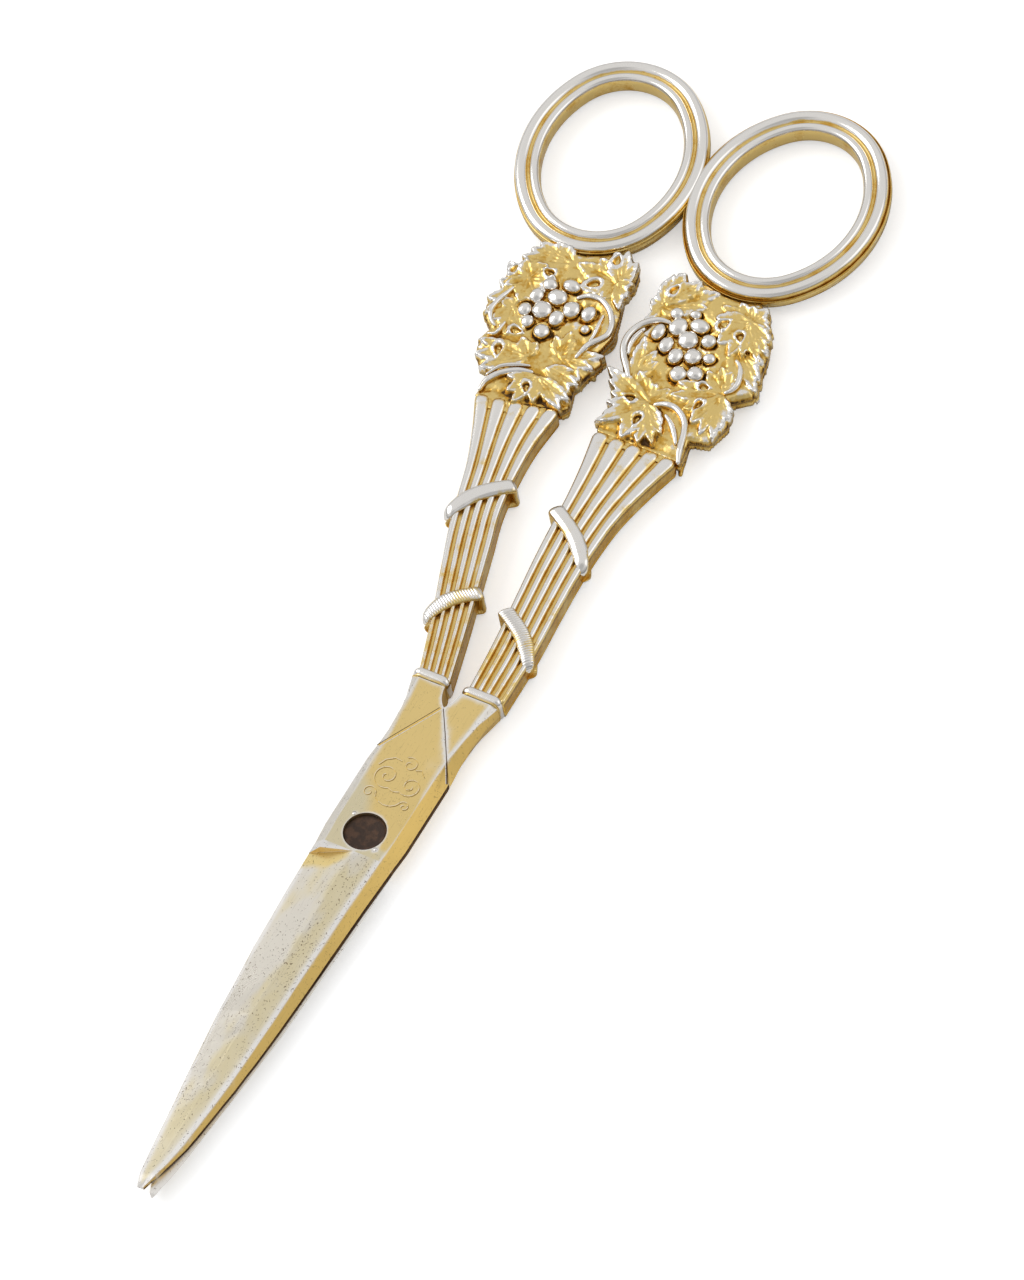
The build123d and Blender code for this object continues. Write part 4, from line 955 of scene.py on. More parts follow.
def head_relief(arm, x, y, level_count):
    """Depth inside the head's outline, height over the ground, and rub, at each place of a grid."""
    cell = x[0, 1] - x[0, 0]
    outline = outline_distance(x, y, outline_segments(f"{arm}_vine_panel"))
    dice = np.random.default_rng(7)
    rough = blurred(dice.normal(size=x.shape), 0.14 / cell)
    rough = rough / rough.std()
    waves = blurred(dice.normal(size=x.shape), 0.45 / cell)
    waves = waves / waves.std()
    height = GROUND_RISE * soft_step(outline, 0.5, 2.5) + STIPPLE * rough
    centre, half = stem_edges(arm, 1.0)
    width = np.linalg.norm(half)
    level = half / width
    from_stem = (y - centre[1]) * level[0] - (x - centre[0]) * level[1]
    across = (x - centre[0]) * level[0] + (y - centre[1]) * level[1]
    flare = width - 0.4 - 0.5 * np.maximum(-from_stem, 0) - np.abs(across)
    seat = np.minimum(np.minimum(flare, from_stem + SEAT_LENGTH), 0.6 - from_stem)
    height = np.maximum(height, STEM_SEAT * (1 - soft_step(from_stem, 0.3, 2.5)) + STIPPLE * rough)
    near_stem = 1 - soft_step(from_stem, 0.2, 0.6)
    edge = np.maximum(outline - 0.15 * (1 - near_stem), seat)
    bunch = np.zeros(x.shape)
    for grape_x, grape_y, wide, tall in GRAPES[arm]:
        near = np.hypot((x - grape_x) / wide, (y - grape_y) / tall)
        bunch = np.maximum(bunch, 1 - soft_step(near, 0.9, 2.1))
    foliage = FOLIAGE_RISE * soft_step(outline, 0.1, 0.9) * soft_step(from_stem, 1.2, 2.6) * (1 - bunch)
    height = np.maximum(height, foliage + 0.05 * waves * soft_step(from_stem, 1.2, 2.6) + 0.5 * STIPPLE * rough)
    height = height + bunch * 3.0 * STIPPLE * rough
    # The ground round the grapes is made darker, with less rub
    darker_round_grapes = bunch.copy()
    shine = np.zeros(x.shape)
    eye_floor = np.zeros(x.shape)
    eye_rim = np.zeros(x.shape)
    for stalk, layer, lobes in LEAVES[arm]:
        if layer >= level_count:
            continue
        depth, top, tip = leaf_relief(x, y, stalk, layer, lobes)
        top = top + 0.045 * waves
        wall = soft_step(depth, -0.1, 0.12)
        height = height * (1 - wall) + top * wall
        darker_round_grapes = darker_round_grapes * (1 - wall)
        shine = shine * (1 - wall) + tip * wall
        edge = np.maximum(edge, np.where(outline > -0.7, depth, -9.0))
    if level_count > 1:
        for eye_x, eye_y, heading, long, wide in EYES[arm]:
            out = drop_eye(x, y, (eye_x, eye_y), heading, long, wide)
            rim = np.exp(-(((out - 1.4) / 0.36) ** 2))
            height = height + EYE_RIM * rim - EYE_DEPTH * (1 - soft_step(out, 0.75, 1.05))
            eye_rim = np.maximum(eye_rim, rim)
            eye_floor = np.maximum(eye_floor, 1 - soft_step(out, 0.6, 0.85))
    edge = np.where(from_stem < 0.4, np.minimum(edge, width - 0.1 - np.abs(across)), edge)
    edge = blurred(edge, 0.1 / cell)
    height = blurred(height, 0.095 / cell) + 0.005 * rough
    height = height - 0.3 * (1 - soft_step(edge, 0.0, 0.25)) ** 2 * (1 - near_stem)
    patchy = blurred(dice.normal(size=x.shape), 0.9 / cell)
    patchy = np.clip(0.6 + 0.5 * patchy / patchy.std(), 0, 1.4)
    smooth = blurred(height, 0.3 / cell)
    fine = height - smooth
    broad = smooth - blurred(height, 1.1 / cell)
    rub = 0.46 + np.clip(1.9 * fine, -0.30, 0.17) + np.clip(1.1 * broad, -0.2, 0.18)
    rub = rub + patchy * (0.05 * shine + 0.13 * np.exp(-np.maximum(edge, 0) / 0.6)) * soft_step(fine, -0.04, 0.05)
    rub = rub + 0.22 * eye_rim - 0.22 * darker_round_grapes * (1 + 0.7 * rough)
    rub = rub * (1 - near_stem) + (0.44 + 0.05 * rough) * near_stem
    rub = rub * (1 - eye_floor) + 0.5 * eye_floor
    return edge, height, np.clip(rub, 0, 1)


def head_face(arm, back):
    """One side of a cast head: its relief as a fine net, its lobed wall, and a floor in the middle plane."""
    low, high = [np.array(corner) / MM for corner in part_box(f"{arm}_vine_panel")]
    cell = BACK_GRID if back else HEAD_GRID
    columns = np.arange(low[0] - 1, high[0] + 1, cell)
    rows = np.arange(low[1] - 1, high[1] + 1, cell)
    x, y = np.meshgrid(columns, rows)
    edge, height, rub = head_relief(arm, x, y, 1 if back else 3)
    slope_y, slope_x = np.gradient(edge, cell)
    steep = np.maximum(np.hypot(slope_x, slope_y), 0.3)
    inside = edge > 0
    kept = inside[:-1, :-1] & inside[:-1, 1:] & inside[1:, :-1] & inside[1:, 1:]
    used = np.zeros(x.shape, dtype=bool)
    for rows_part, columns_part in ((slice(None, -1), slice(None, -1)), (slice(None, -1), slice(1, None)),
                                    (slice(1, None), slice(None, -1)), (slice(1, None), slice(1, None))):
        used[rows_part, columns_part] |= kept
    number = -np.ones(x.shape, dtype=int)
    number[used] = np.arange(used.sum())
    side = -1 if back else 1
    top = np.stack([x[used], y[used], MIDDLE + side * (PANEL_TOP - MIDDLE + height[used])], axis=1)
    cells = np.argwhere(kept)
    faces = [(number[r, c], number[r, c + 1], number[r + 1, c + 1], number[r + 1, c]) for r, c in cells]
    mesh = bpy.data.meshes.new("relief")
    mesh.from_pydata((top * MM).tolist(), [], [tuple(int(v) for v in face) for face in faces])
    store_rub(mesh, rub[used])
    shift = mesh.attributes.new("shift", "FLOAT_VECTOR", "POINT")
    move = np.stack([-slope_x[used], -slope_y[used], np.zeros(used.sum())], axis=1)
    move = move * (np.minimum(edge[used], 1.5 * cell) / steep[used] ** 2)[:, None] * MM
    shift.data.foreach_set("vector", move.astype(np.float32).ravel())
    return wall_and_floor(mesh, f"{arm}_vine_{'back' if back else 'face'}", arm, back)


def wall_and_floor(mesh, name, arm, back):
    """Snaps the net's rim to the outline, drops a wall from it and closes it in the middle plane."""
    work = bmesh.new()
    work.from_mesh(mesh)
    shift = work.verts.layers.float_vector["shift"]
    worn = work.verts.layers.float["rub"]
    loose = [v for v in work.verts if not v.link_faces]
    bmesh.ops.delete(work, geom=loose, context="VERTS")
    rim = [e for e in work.edges if e.is_boundary]
    for vertex in {v for e in rim for v in e.verts}:
        vertex.co += vertex[shift]
    level = MIDDLE * MM
    wall = bmesh.ops.extrude_edge_only(work, edges=rim)["geom"]
    for vertex in [item for item in wall if isinstance(item, bmesh.types.BMVert)]:
        vertex.co.z = level
        # Little rub on the wall gives darker gold: painted shade
        vertex[worn] = 0.34
    open_edges = [e for e in work.edges if e.is_boundary]
    bmesh.ops.holes_fill(work, edges=open_edges, sides=0)
    bmesh.ops.triangulate(work, faces=[f for f in work.faces if len(f.verts) > 4])
    bmesh.ops.recalc_face_normals(work, faces=work.faces)
    work.to_mesh(mesh)
    work.free()
    mesh.attributes.remove(mesh.attributes["shift"])
    mesh.shade_smooth()
    mesh.materials.append(CAST_GILT)
    mesh.name = name
    replaced = (f"{arm}_back_leaves",) if back else (f"{arm}_face_leaves", f"{arm}_vine_panel")
    return finished(mesh, name, arm, replaced)


def tendril(width, route, back):
    """A tapering shoot that lies along its route and sinks at its ends."""
    places = np.array(route, dtype=float)
    along = run_lengths(places)
    rows = np.column_stack([along / along[-1], places])
    count = max(16, int(along[-1] / 0.14))
    points, rub = [], []
    side = -1 if back else 1
    for far in np.linspace(0, 1, count):
        here = smooth_rows(rows, far)
        ahead = smooth_rows(rows, min(far + 0.01, 1)) - smooth_rows(rows, max(far - 0.01, 0))
        ahead = ahead / np.linalg.norm(ahead)
        to_end = min(far, 1 - far) * along[-1]
        full = 0.55 + 0.45 * min(to_end / 2.0, 1)
        closed = round_end(to_end / (width * 0.5), 0.03)
        place = np.array((here[0], here[1], PANEL_TOP - MIDDLE + 0.62 - 0.25 * (1 - full)))
        across = np.array((ahead[1], -ahead[0], 0.0))
        broad = width * 0.7 * full * closed
        thick = 0.5 * full * closed
        ring = band_section(place, np.array((0, 0, 1.0)), across, broad, thick, 14)
        for turn, point in enumerate(ring):
            points.append((point[0], point[1], MIDDLE + side * point[2]))
            rise = math.sin(2 * math.pi * turn / len(ring))
            rub.append(0.44 + 0.5 * min(max(rise, -0.2) * 1.6, 1.0))
    return points, rub, count


def vine_shoots(arm, back):
    """All shoots on one side of a head as one piece."""
    points, rub, faces = [], [], []
    for width, route in SHOOTS[arm]:
        some, worn, count = tendril(width, route, back)
        first = len(points)
        faces.extend(tuple(v + first for v in face) for face in grid_faces(count, len(some) // count))
        points.extend(some)
        rub.extend(worn)
    place = "back" if back else "face"
    return metal_piece(f"{arm}_{place}_shoots_shaped", arm, CAST_GILT, points, faces,
                       (f"{arm}_{place}_shoots",), rub)


def grape_tree():
    """Geometry nodes that stand a slightly uneven grape on each point, as large as the point says."""
    tree = bpy.data.node_groups.new("grapes_on_points", "GeometryNodeTree")
    face = tree.interface
    face.new_socket("Geometry", in_out="INPUT", socket_type="NodeSocketGeometry")
    face.new_socket("Unevenness", in_out="INPUT", socket_type="NodeSocketFloat")
    face.new_socket("Metal", in_out="INPUT", socket_type="NodeSocketMaterial")
    face.new_socket("Geometry", in_out="OUTPUT", socket_type="NodeSocketGeometry")
    given = tree.nodes.new("NodeGroupInput")
    result = tree.nodes.new("NodeGroupOutput")
    links = tree.links
    ball = add_node(tree, "GeometryNodeMeshUVSphere", Segments=32, Rings=20, Radius=1.0)
    place = tree.nodes.new("GeometryNodeInputPosition")
    parts = tree.nodes.new("ShaderNodeSeparateXYZ")
    links.new(place.outputs[0], parts.inputs[0])
    # Rub by height on each ball: rubbed silver on top, down to darker gold and dark at the base, partly patina and
    # partly painted shade
    worn = add_node(tree, "ShaderNodeMapRange")
    for name, value in (("From Min", -0.25), ("From Max", 0.52), ("To Min", 0.08), ("To Max", 0.95)):
        worn.inputs[name].default_value = value
    links.new(parts.outputs["Z"], worn.inputs["Value"])
    store = add_node(tree, "GeometryNodeStoreNamedAttribute", data_type="FLOAT", domain="POINT")
    store.inputs["Name"].default_value = "rub"
    links.new(ball.outputs["Mesh"], store.inputs["Geometry"])
    links.new(worn.outputs["Result"], store.inputs["Value"])
    size = add_node(tree, "GeometryNodeInputNamedAttribute", data_type="FLOAT_VECTOR")
    size.inputs["Name"].default_value = "size"
    stand = tree.nodes.new("GeometryNodeInstanceOnPoints")
    links.new(given.outputs["Geometry"], stand.inputs["Points"])
    links.new(store.outputs["Geometry"], stand.inputs["Instance"])
    links.new(size.outputs["Attribute"], stand.inputs["Scale"])
    real = tree.nodes.new("GeometryNodeRealizeInstances")
    links.new(stand.outputs["Instances"], real.inputs["Geometry"])
    where = tree.nodes.new("GeometryNodeInputPosition")
    noise = add_node(tree, "ShaderNodeTexNoise", Scale=800.0, Detail=1.0)
    links.new(where.outputs[0], noise.inputs["Vector"])
    centred = add_node(tree, "ShaderNodeVectorMath", operation="SUBTRACT")
    centred.inputs[1].default_value = (0.5, 0.5, 0.5)
    links.new(noise.outputs["Color"], centred.inputs[0])
    push = add_node(tree, "ShaderNodeVectorMath", operation="SCALE")
    links.new(centred.outputs[0], push.inputs[0])
    links.new(given.outputs["Unevenness"], push.inputs["Scale"])
    move = tree.nodes.new("GeometryNodeSetPosition")
    links.new(real.outputs["Geometry"], move.inputs["Geometry"])
    links.new(push.outputs[0], move.inputs["Offset"])
    smooth = tree.nodes.new("GeometryNodeSetShadeSmooth")
    links.new(move.outputs["Geometry"], smooth.inputs["Geometry"])
    coat = tree.nodes.new("GeometryNodeSetMaterial")
    links.new(smooth.outputs["Geometry"], coat.inputs["Geometry"])
    links.new(given.outputs["Metal"], coat.inputs["Material"])
    links.new(coat.outputs["Geometry"], result.inputs["Geometry"])
    return tree


GRAPE_TREE = grape_tree()


def grapes(arm, back):
    """The bunch on one side of a head."""
    side = -1 if back else 1
    mesh = bpy.data.meshes.new("grape_points")
    places, sizes = [], []
    for x, y, wide, tall in GRAPES[arm]:
        rise = (0.72 if back else 0.86) * math.sqrt((wide + tall) / 2)
        places.append((x * MM, y * MM, (MIDDLE + side * (PANEL_TOP - MIDDLE + 0.40)) * MM))
        sizes.extend((GRAPE_FULLNESS * wide * MM, GRAPE_FULLNESS * tall * MM, side * rise * MM))
    mesh.from_pydata(places, [], [])
    layer = mesh.attributes.new("size", "FLOAT_VECTOR", "POINT")
    layer.data.foreach_set("vector", sizes)
    carrier = new_object("grape_points", mesh)
    modifier = carrier.modifiers.new("grapes", "NODES")
    modifier.node_group = GRAPE_TREE
    for item in GRAPE_TREE.interface.items_tree:
        if item.name == "Unevenness":
            modifier[item.identifier] = 0.17 * MM
        if item.name == "Metal":
            modifier[item.identifier] = CAST_GILT
    made = applied(carrier)
    outward(made)
    place = "back" if back else "face"
    made.name = f"{arm}_{place}_grapes_shaped"
    return finished(made, made.name, arm, (f"{arm}_{place}_grapes",))


# Blades and pivot
def blade_material(face, front):
    """Which finish a flat of a forging has, by its place and the way it faces."""
    place = face.calc_center_median() / MM
    outward_side = face.normal.x if front else -face.normal.x
    if abs(face.normal.z) > 0.9 and abs(place.z - MIDDLE) < 0.1:
        return LAP_FINISH
    if place.y > BLADE_START:
        bevel = 0.3 < face.normal.z < 0.97
        if bevel and (face.normal.z > 0.85 or (front and outward_side < -0.15)):
            return LAP_FINISH
    elif place.y > LEDGE_START and face.normal.y < -0.8:
        return SPINE_FINISH
    # The ledge's upper facet in bright silver: rubbed silver and a painted highlight
    elif place.y > LEDGE_START and front and outward_side < -0.5 and face.normal.z > 0.5:
        return HIGHLIGHT_AND_EDGE_FINISH
    elif outward_side < 0.4:
        return FACE_FINISH
    return PLATE_FINISH if abs(face.normal.z) > 0.95 else SPINE_FINISH


def on_spine(face):
    """Whether a flat slopes away on the spine's side. Steep ones count on the pointed blade only."""
    steepest = 0.3 if face.calc_center_median().y > BLADE_START * MM else 0.03
    return face.normal.x > 0.5 and steepest < face.normal.z < 0.9


def cut_flat(work, axis, place, parts=None):
    """Cuts a mesh, or only some parts of it, square to an axis. The place is in metres."""
    direction = Vector([float(number == axis) for number in range(3)])
    geom = [*work.verts, *work.edges, *work.faces] if parts is None else parts
    bmesh.ops.bisect_plane(work, geom=geom, plane_co=direction * place, plane_no=direction)


def shift_at(rows, along):
    """The shift of an edge line at a place along the blade."""
    return np.interp(along, [row[0] for row in rows], [row[1] for row in rows])


def settle_outline(work, arm):
    """Cuts the pointed blade across, moves its edge lines to smooth curves, and thins the front one to its tip."""
    for station in BLADE_STATIONS:
        cut_flat(work, 1, station * MM)
    shifts = BLADE_SHIFTS[arm]
    for vertex in work.verts:
        x, y, z = vertex.co / MM
        if y > BLADE_STATIONS[0] + 5:
            continue
        left, crest, right = [shift_at(shifts[name], y) for name in ("left", "crest", "right")]
        crest_place = np.interp(y, [row[0] for row in BLADE_CREST], [row[1] for row in BLADE_CREST])
        if x < 0.3:
            move = left * min((0.3 - x) / 1.5, 1) if z < 3.6 else 0.0
        elif arm == "rear":
            move = right * min((x - 0.3) / 1.5, 1)
        elif x > crest_place - 0.02 or z < 2.05:
            rise = min(max((z - MIDDLE) / (PLATE_TOP - MIDDLE), 0), 1)
            move = (right + (crest - right) * rise) * min((x - 0.3) / 0.4, 1)
        else:
            move = crest * (x - 0.3) / (crest_place - 0.3)
        vertex.co.x += float(move) * MM
        if arm == "front" and z > MIDDLE:
            vertex.co.z = (MIDDLE + (z - MIDDLE) * shift_at(BLADE_THINNING, y)) * MM


def mark_worn_edges(work):
    """Marks the edges that rubbing has rounded: sharp ones, but not those inside the blade face or the spine."""
    weight = work.edges.layers.float.new("bevel_weight_edge")
    for edge in work.edges:
        if len(edge.link_faces) == 2:
            one, two = [face.material_index for face in edge.link_faces]
            sharp = edge.calc_face_angle(0.0) > math.radians(SHARP_EDGE_DEGREES)
            edge[weight] = float(sharp and not (one == two and one in (FACE_FINISH, SPINE_FINISH)))


def with_rubbed_edges(mesh):
    """The mesh with narrow round edges in bright silver."""
    carrier = new_object("edges", mesh)
    bevel = carrier.modifiers.new("rubbed_edges", "BEVEL")
    bevel.width = RUBBED_EDGE_WIDTH * MM
    bevel.segments = 2
    bevel.limit_method = "WEIGHT"
    bevel.material = HIGHLIGHT_AND_EDGE_FINISH
    return applied(carrier)


def edge_wear(work):
    """Cuts the flats into small cells, whose rub falls from 1 at the silver edges to 0 inside."""
    for axis, pitch in enumerate(CELL_PITCHES):
        places = [vertex.co[axis] for vertex in work.verts]
        for place in np.arange(min(places) + CELL_START * MM, max(places), pitch * MM):
            cut_flat(work, axis, place)
    points = []
    for edge in work.edges:
        finishes = {face.material_index for face in edge.link_faces}
        if HIGHLIGHT_AND_EDGE_FINISH in finishes and len(finishes) > 1:
            one, two = [vertex.co for vertex in edge.verts]
            count = max(1, int((two - one).length / (0.15 * MM)))
            points.extend(one.lerp(two, number / count) for number in range(count))
    near = kdtree.KDTree(len(points))
    for number, point in enumerate(points):
        near.insert(point, number)
    near.balance()
    worn = work.verts.layers.float.new("rub")
    for vertex in work.verts:
        vertex[worn] = math.exp(-near.find(vertex.co)[2] / (EDGE_FADE * MM))


def paint_lap_edge_shadow(work):
    """Paints shadow as a dark line on the spine's lower edge, along the joint."""
    for face in work.faces:
        low = abs(face.calc_center_median().z - MIDDLE * MM) < 0.12 * MM
        if face.material_index == HIGHLIGHT_AND_EDGE_FINISH and low and face.normal.x > 0.3:
            face.material_index = PAINTED_SHADOW_FINISH


def add_lines(work):
    """Adds the scribed lines and the engraved scroll to the front plate, with their painted shadow and painted
    highlight lines.
    """
    for route, half, material, level in plate_lines():
        rows = []
        route = np.array(route)
        ahead = np.gradient(route, axis=0)
        ahead = ahead / np.linalg.norm(ahead, axis=1)[:, None]
        for (x, y), (dx, dy) in zip(route, ahead):
            for across, up in ((-1, -0.05), (-0.5, 0.0), (0.5, 0.0), (1, -0.05)):
                place = (x + dy * across * half, y - dx * across * half, level + up)
                rows.append(work.verts.new([value * MM for value in place]))
        for face in grid_faces(len(route), 4):
            work.faces.new([rows[number] for number in face]).material_index = material


def spiral(centre, small, large, turns, start):
    """Points of a curl that opens from its middle."""
    route = []
    for share in np.linspace(0, 1, int(40 * abs(turns)) + 8):
        angle = math.radians(start) + 2 * math.pi * turns * share
        reach = small + (large - small) * share
        route.append((centre[0] + reach * math.cos(angle), centre[1] + reach * math.sin(angle)))
    return route


def plate_lines():
    """Each line on the front plate: its route, half width, finish and height."""
    scroll = [
        [*spiral((-1.5, 8.5), 0.3, 1.9, 1.45, 140), (-0.1, 6.75), (0.35, 6.65), (0.75, 6.75),
         *reversed(spiral((2.0, 8.2), 0.3, 1.55, -1.4, 20))],
        [*spiral((-2.5, 5.5), 0.18, 0.95, -1.2, 80), (-1.35, 5.1), (-0.7, 4.6), (0.2, 4.4), (1.1, 4.55), (1.65, 4.95),
         *reversed(spiral((2.7, 5.2), 0.15, 0.8, 1.2, 100))],
        spiral((0.4, 11.1), 0.18, 1.15, 1.2, 60),
        [(-3.3, 9.6), (-2.8, 10.6), (-1.8, 11.3), (-0.8, 11.2)],
        [(2.9, 10.2), (2.2, 10.9), (1.5, 10.6)],
    ]
    lines = []
    for route in scroll:
        lines.append((route, 0.075, SPINE_FINISH, PLATE_TOP + 0.018))
        # A painted highlight beside each scroll line on one side, and a painted shadow on the other
        lines.append(([(x - 0.07, y + 0.06) for x, y in route], 0.06, HIGHLIGHT_AND_EDGE_FINISH, PLATE_TOP + 0.014))
        lines.append(([(x + 0.07, y - 0.04) for x, y in route], 0.065, PAINTED_SHADOW_FINISH, PLATE_TOP + 0.010))
    mitre = [(-0.25, 20.3), (-2.5, 16.2), (-4.75, 12.1)]
    lines.append((mitre, 0.17, SPINE_FINISH, PLATE_TOP + 0.018))
    # Painted shadow on the mitre line's left and a painted highlight on its right
    lines.append(([(x - 0.22, y) for x, y in mitre], 0.07, PAINTED_SHADOW_FINISH, PLATE_TOP + 0.012))
    lines.append(([(x + 0.22, y) for x, y in mitre], 0.08, HIGHLIGHT_AND_EDGE_FINISH, PLATE_TOP + 0.012))
    seam = [(0.06, 20.3), (2.2, 16.95), (4.2, 13.7), (5.2, 12.0), (6.05, 10.5)]
    # The seam's dark line marks the joint and is painted shadow; a painted highlight runs on its left
    lines.append((seam, 0.10, PAINTED_SHADOW_FINISH, PLATE_TOP + 0.008))
    lines.append(([(x - 0.17, y) for x, y in seam], 0.07, HIGHLIGHT_AND_EDGE_FINISH, PLATE_TOP + 0.006))
    return lines


def forged_blade(arm):
    """The blade, plate and shank with rubbed edges, cut fine enough to carry their wear."""
    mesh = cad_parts[f"{arm}_blade"].data.copy()
    mesh.materials.clear()
    work = bmesh.new()
    work.from_mesh(mesh)
    bmesh.ops.remove_doubles(work, verts=work.verts, dist=0.002 * MM)
    for vertex in work.verts:
        x, y, _ = vertex.co / MM
        if math.hypot(abs(x) - CHAMFER_START[0], y - CHAMFER_START[1]) < 0.05:
            vertex.co.x = math.copysign(CHAMFER_EDGE * MM, x)
    bmesh.ops.remove_doubles(work, verts=work.verts, dist=0.02 * MM)
    bmesh.ops.dissolve_limit(work, angle_limit=math.radians(0.6), verts=work.verts, edges=work.edges)
    cut_flat(work, 1, BLADE_START * MM)
    settle_outline(work, arm)
    bmesh.ops.recalc_face_normals(work, faces=work.faces)
    if arm == "front":
        spine = [face for face in work.faces if on_spine(face)]
        around = {item for face in spine for item in (*face.verts, *face.edges)}
        cut_flat(work, 2, (MIDDLE + SHADE_HEIGHT) * MM, [*around, *spine])
    for face in work.faces:
        face.material_index = blade_material(face, arm == "front")
        place = face.calc_center_median() / MM
        # Up to SHADE_END along the shears, the spine's lower strip is painted shadow
        if arm == "front" and on_spine(face) and place.z < MIDDLE + SHADE_HEIGHT:
            face.material_index = PAINTED_SHADOW_FINISH if place.y < SHADE_END else SPINE_FINISH
        face.smooth = False
    mark_worn_edges(work)
    work.to_mesh(mesh)
    work.free()
    for material in (PLATE_GILT, BLADE_FACE, SPINE_GILT, LAP_SILVER, EDGE_SILVER_AND_HIGHLIGHT, LINE_SHADOW):
        mesh.materials.append(material)
    mesh = with_rubbed_edges(mesh)
    work = bmesh.new()
    work.from_mesh(mesh)
    if arm == "front":
        paint_lap_edge_shadow(work)
    edge_wear(work)
    if arm == "front":
        add_lines(work)
    work.to_mesh(mesh)
    work.free()
    return finished(mesh, f"{arm}_blade_forging", arm, (f"{arm}_blade",))


def turned(profile, count=64):
    """Points and faces of a closed turned shape, from the radii and heights of its profile."""
    points = []
    for number in range(count):
        angle = 2 * math.pi * number / count
        points.extend((radius * math.cos(angle), radius * math.sin(angle), height) for radius, height in profile)
    columns = len(profile)
    faces = []
    for number in range(count):
        after = (number + 1) % count
        for column in range(columns - 1):
            faces.append((number * columns + column, after * columns + column,
                          after * columns + column + 1, number * columns + column + 1))
    faces.append(tuple(number * columns for number in range(count)))
    faces.append(tuple(number * columns + columns - 1 for number in range(count)))
    return points, faces


def rivet():
    """The steel rivet: flat head at the back, slightly dished end sunk in the front plate."""
    end = PLATE_TOP - STEEL_SINK
    profile = [(0.6, 0.02), (3.1, 0.0), (RIVET_HEAD_RADIUS, 0.12), (RIVET_HEAD_RADIUS, RIVET_HEAD_THICKNESS),
               (RIVET_RADIUS, RIVET_HEAD_THICKNESS), (RIVET_RADIUS, end - 0.12), (RIVET_RADIUS - 0.14, end),
               (RIVET_RADIUS - 0.5, end - 0.04), (1.6, end - 0.12), (0.5, end - 0.16)]
    points, faces = turned(profile)
    return metal_piece("pivot_rivet_turned", "front", STEEL, points, faces, ("pivot_rivet",))


def lock_pins():
    """The two small domed pins beside the rivet."""
    points, faces = [], []
    for bearing in (LOCK_PIN_BEARING, LOCK_PIN_BEARING + 180):
        angle = math.radians(bearing)
        centre = (LOCK_PIN_DISTANCE * math.cos(angle), LOCK_PIN_DISTANCE * math.sin(angle))
        radius = LOCK_PIN_RADIUS
        profile = [(radius, PLATE_TOP - 0.9), (radius, PLATE_TOP - 0.03), (radius * 0.85, PLATE_TOP + 0.02),
                   (radius * 0.5, PLATE_TOP + 0.05), (radius * 0.15, PLATE_TOP + 0.06)]
        some, quads = turned(profile, 20)
        first = len(points)
        points.extend((x + centre[0], y + centre[1], z) for x, y, z in some)
        faces.extend(tuple(v + first for v in face) for face in quads)
    return metal_piece("lock_pins_domed", "front", EDGE_SILVER_AND_HIGHLIGHT, points, faces, ("lock_pins",))


for arm in ("front", "rear"):
    forged_blade(arm)
    collar(arm)
    reeded_stem(arm)
    wrap(arm, "lower", ribbed=True)
    wrap(arm, "upper", ribbed=False)
    finger_ring(arm)
    for back in (False, True):
        head_face(arm, back)
        vine_shoots(arm, back)
        grapes(arm, back)
rivet()
lock_pins()


# Table, light and camera
def table():
    """A plain white table that shows white to the camera and keeps the shears' shadow."""
    mesh = bpy.data.meshes.new("table_top")
    reach = 6.0
    level = -0.1 * MM
    corners = [(x * reach, y * reach, level) for x, y in ((-1, -1), (1, -1), (1, 1), (-1, 1))]
    mesh.from_pydata(corners, [], [(0, 1, 2, 3)])
    top = new_object("table_top", mesh)
    material = bpy.data.materials.new("white_table")
    material.use_nodes = True
    tree = material.node_tree
    tree.nodes.clear()
    matt = add_node(tree, "ShaderNodeBsdfDiffuse", Color=(0.86, 0.86, 0.86, 1))
    glow = add_node(tree, "ShaderNodeEmission", Strength=0.43)
    both = tree.nodes.new("ShaderNodeAddShader")
    path = tree.nodes.new("ShaderNodeLightPath")
    choice = tree.nodes.new("ShaderNodeMixShader")
    output = tree.nodes.new("ShaderNodeOutputMaterial")
    tree.links.new(matt.outputs[0], both.inputs[0])
    tree.links.new(glow.outputs[0], both.inputs[1])
    tree.links.new(path.outputs["Is Camera Ray"], choice.inputs[0])
    tree.links.new(matt.outputs[0], choice.inputs[1])
    tree.links.new(both.outputs[0], choice.inputs[2])
    tree.links.new(choice.outputs[0], output.inputs["Surface"])
    mesh.materials.append(material)


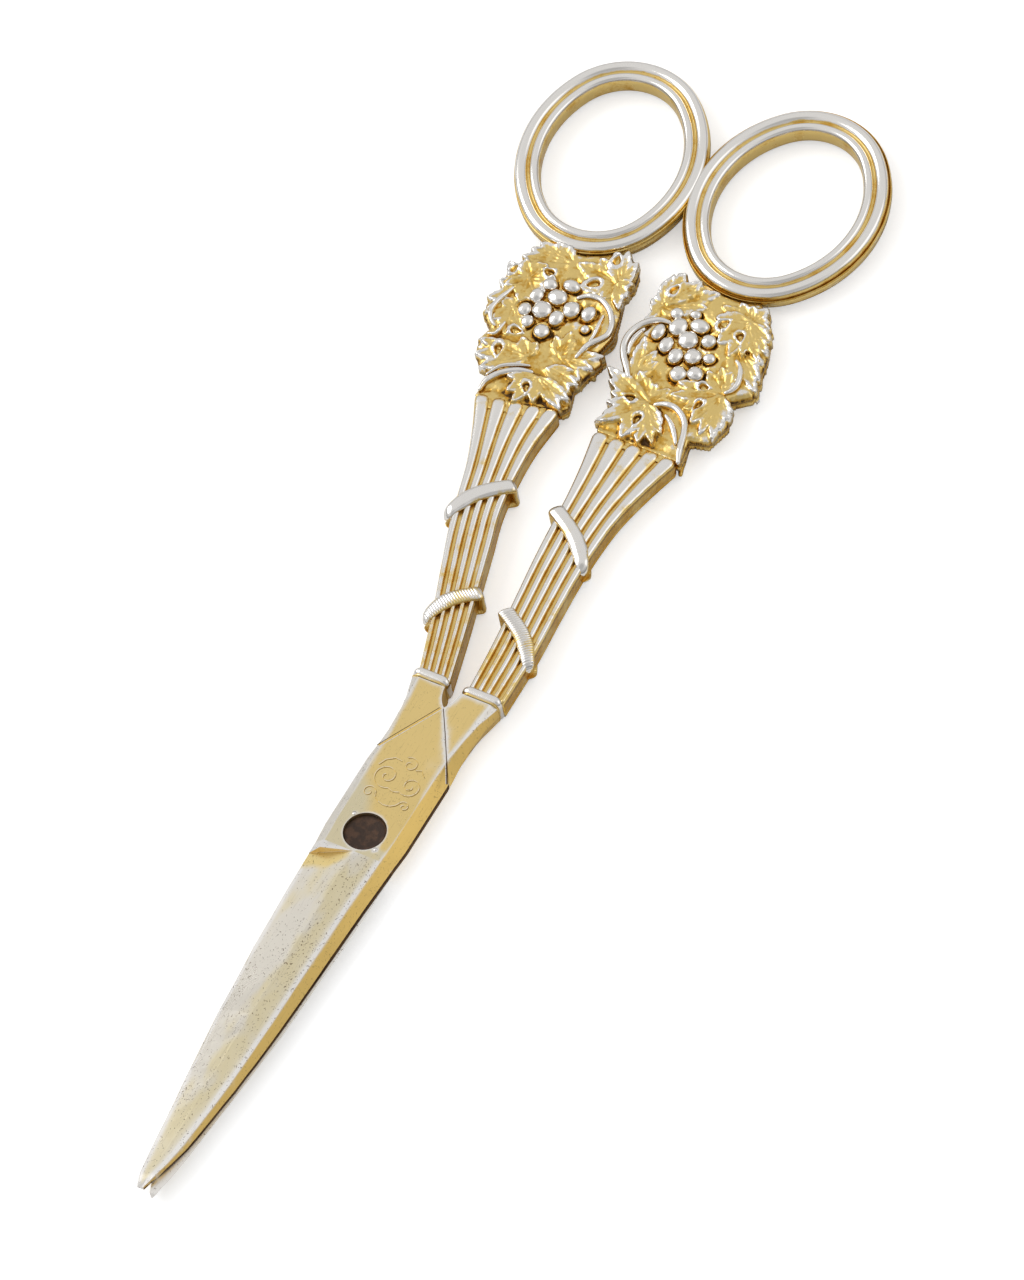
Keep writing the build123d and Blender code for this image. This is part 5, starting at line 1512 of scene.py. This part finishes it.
def sky():
    """Soft light from above, a bright panel behind on the right, and a dim patch where the camera stands."""
    world = bpy.data.worlds.new("soft_studio")
    bpy.context.scene.world = world
    world.use_nodes = True
    tree = world.node_tree
    tree.nodes.clear()
    place = tree.nodes.new("ShaderNodeTexCoord")
    levels = []
    for heading, low, high, dim, full in (
        ((-0.10, 0.10, 0.99), -0.10, 0.60, 0.26, 0.82),
        ((0.363, -0.444, 0.819), 0.86, 0.97, 1.0, 0.62),
        ((0.76, 0.44, 0.48), 0.86, 0.97, 1.0, 1.75),
    ):
        toward = add_node(tree, "ShaderNodeVectorMath", operation="DOT_PRODUCT")
        toward.inputs[1].default_value = heading
        tree.links.new(place.outputs["Generated"], toward.inputs[0])
        level = add_node(tree, "ShaderNodeMapRange", interpolation_type="SMOOTHSTEP")
        for name, value in (("From Min", low), ("From Max", high), ("To Min", dim), ("To Max", full)):
            level.inputs[name].default_value = value
        tree.links.new(toward.outputs["Value"], level.inputs["Value"])
        levels.append(level.outputs["Result"])
    path = tree.nodes.new("ShaderNodeLightPath")
    light = tree.nodes.new("ShaderNodeBackground")
    total = maths(tree, "MULTIPLY", maths(tree, "MULTIPLY", levels[0], levels[1]), levels[2])
    tree.links.new(total, light.inputs["Strength"])
    white = add_node(tree, "ShaderNodeBackground", Strength=1.0)
    white.inputs["Color"].default_value = (1, 1, 1, 1)
    light.inputs["Color"].default_value = (1, 1, 1, 1)
    choice = tree.nodes.new("ShaderNodeMixShader")
    output = tree.nodes.new("ShaderNodeOutputWorld")
    tree.links.new(path.outputs["Is Camera Ray"], choice.inputs[0])
    tree.links.new(light.outputs[0], choice.inputs[1])
    tree.links.new(white.outputs[0], choice.inputs[2])
    tree.links.new(choice.outputs[0], output.inputs["Surface"])


def lamp(name, place, size, power):
    """A square soft lamp that faces the shears."""
    data = bpy.data.lights.new(name, "AREA")
    data.size = size
    data.energy = power
    item = new_object(name, data)
    item.location = place
    aim = Vector((0, 0.03, 0)) - Vector(place)
    item.rotation_euler = aim.to_track_quat("-Z", "Y").to_euler()


def camera():
    """The camera at the photograph's angle, far away with a long lens."""
    azimuth = math.radians(VIEW_AZIMUTH)
    elevation = math.radians(VIEW_ELEVATION)
    level_share = math.cos(elevation)
    forward = Vector((math.cos(azimuth) * level_share, math.sin(azimuth) * level_share, -math.sin(elevation)))
    level_right = forward.cross(Vector((0, 0, 1))).normalized()
    level_up = level_right.cross(forward)
    roll = math.radians(VIEW_ROLL)
    right = level_right * math.cos(roll) - level_up * math.sin(roll)
    up = level_right * math.sin(roll) + level_up * math.cos(roll)
    data = bpy.data.cameras.new("view")
    data.sensor_fit = "VERTICAL"
    data.sensor_height = SENSOR
    data.lens = PIXELS_PER_MM * VIEW_DISTANCE / PICTURE_HEIGHT * SENSOR
    item = new_object("view", data)
    place = (Vector(LOOK_AT) - forward * VIEW_DISTANCE) * MM
    item.matrix_world = Matrix((
        (right.x, up.x, -forward.x, place.x),
        (right.y, up.y, -forward.y, place.y),
        (right.z, up.z, -forward.z, place.z),
        (0, 0, 0, 1),
    ))
    bpy.context.scene.camera = item


table()
sky()
lamp("key", (-0.85, -0.10, 0.72), 0.8, 5.0)
camera()
bpy.context.scene.view_settings.view_transform = "Standard"
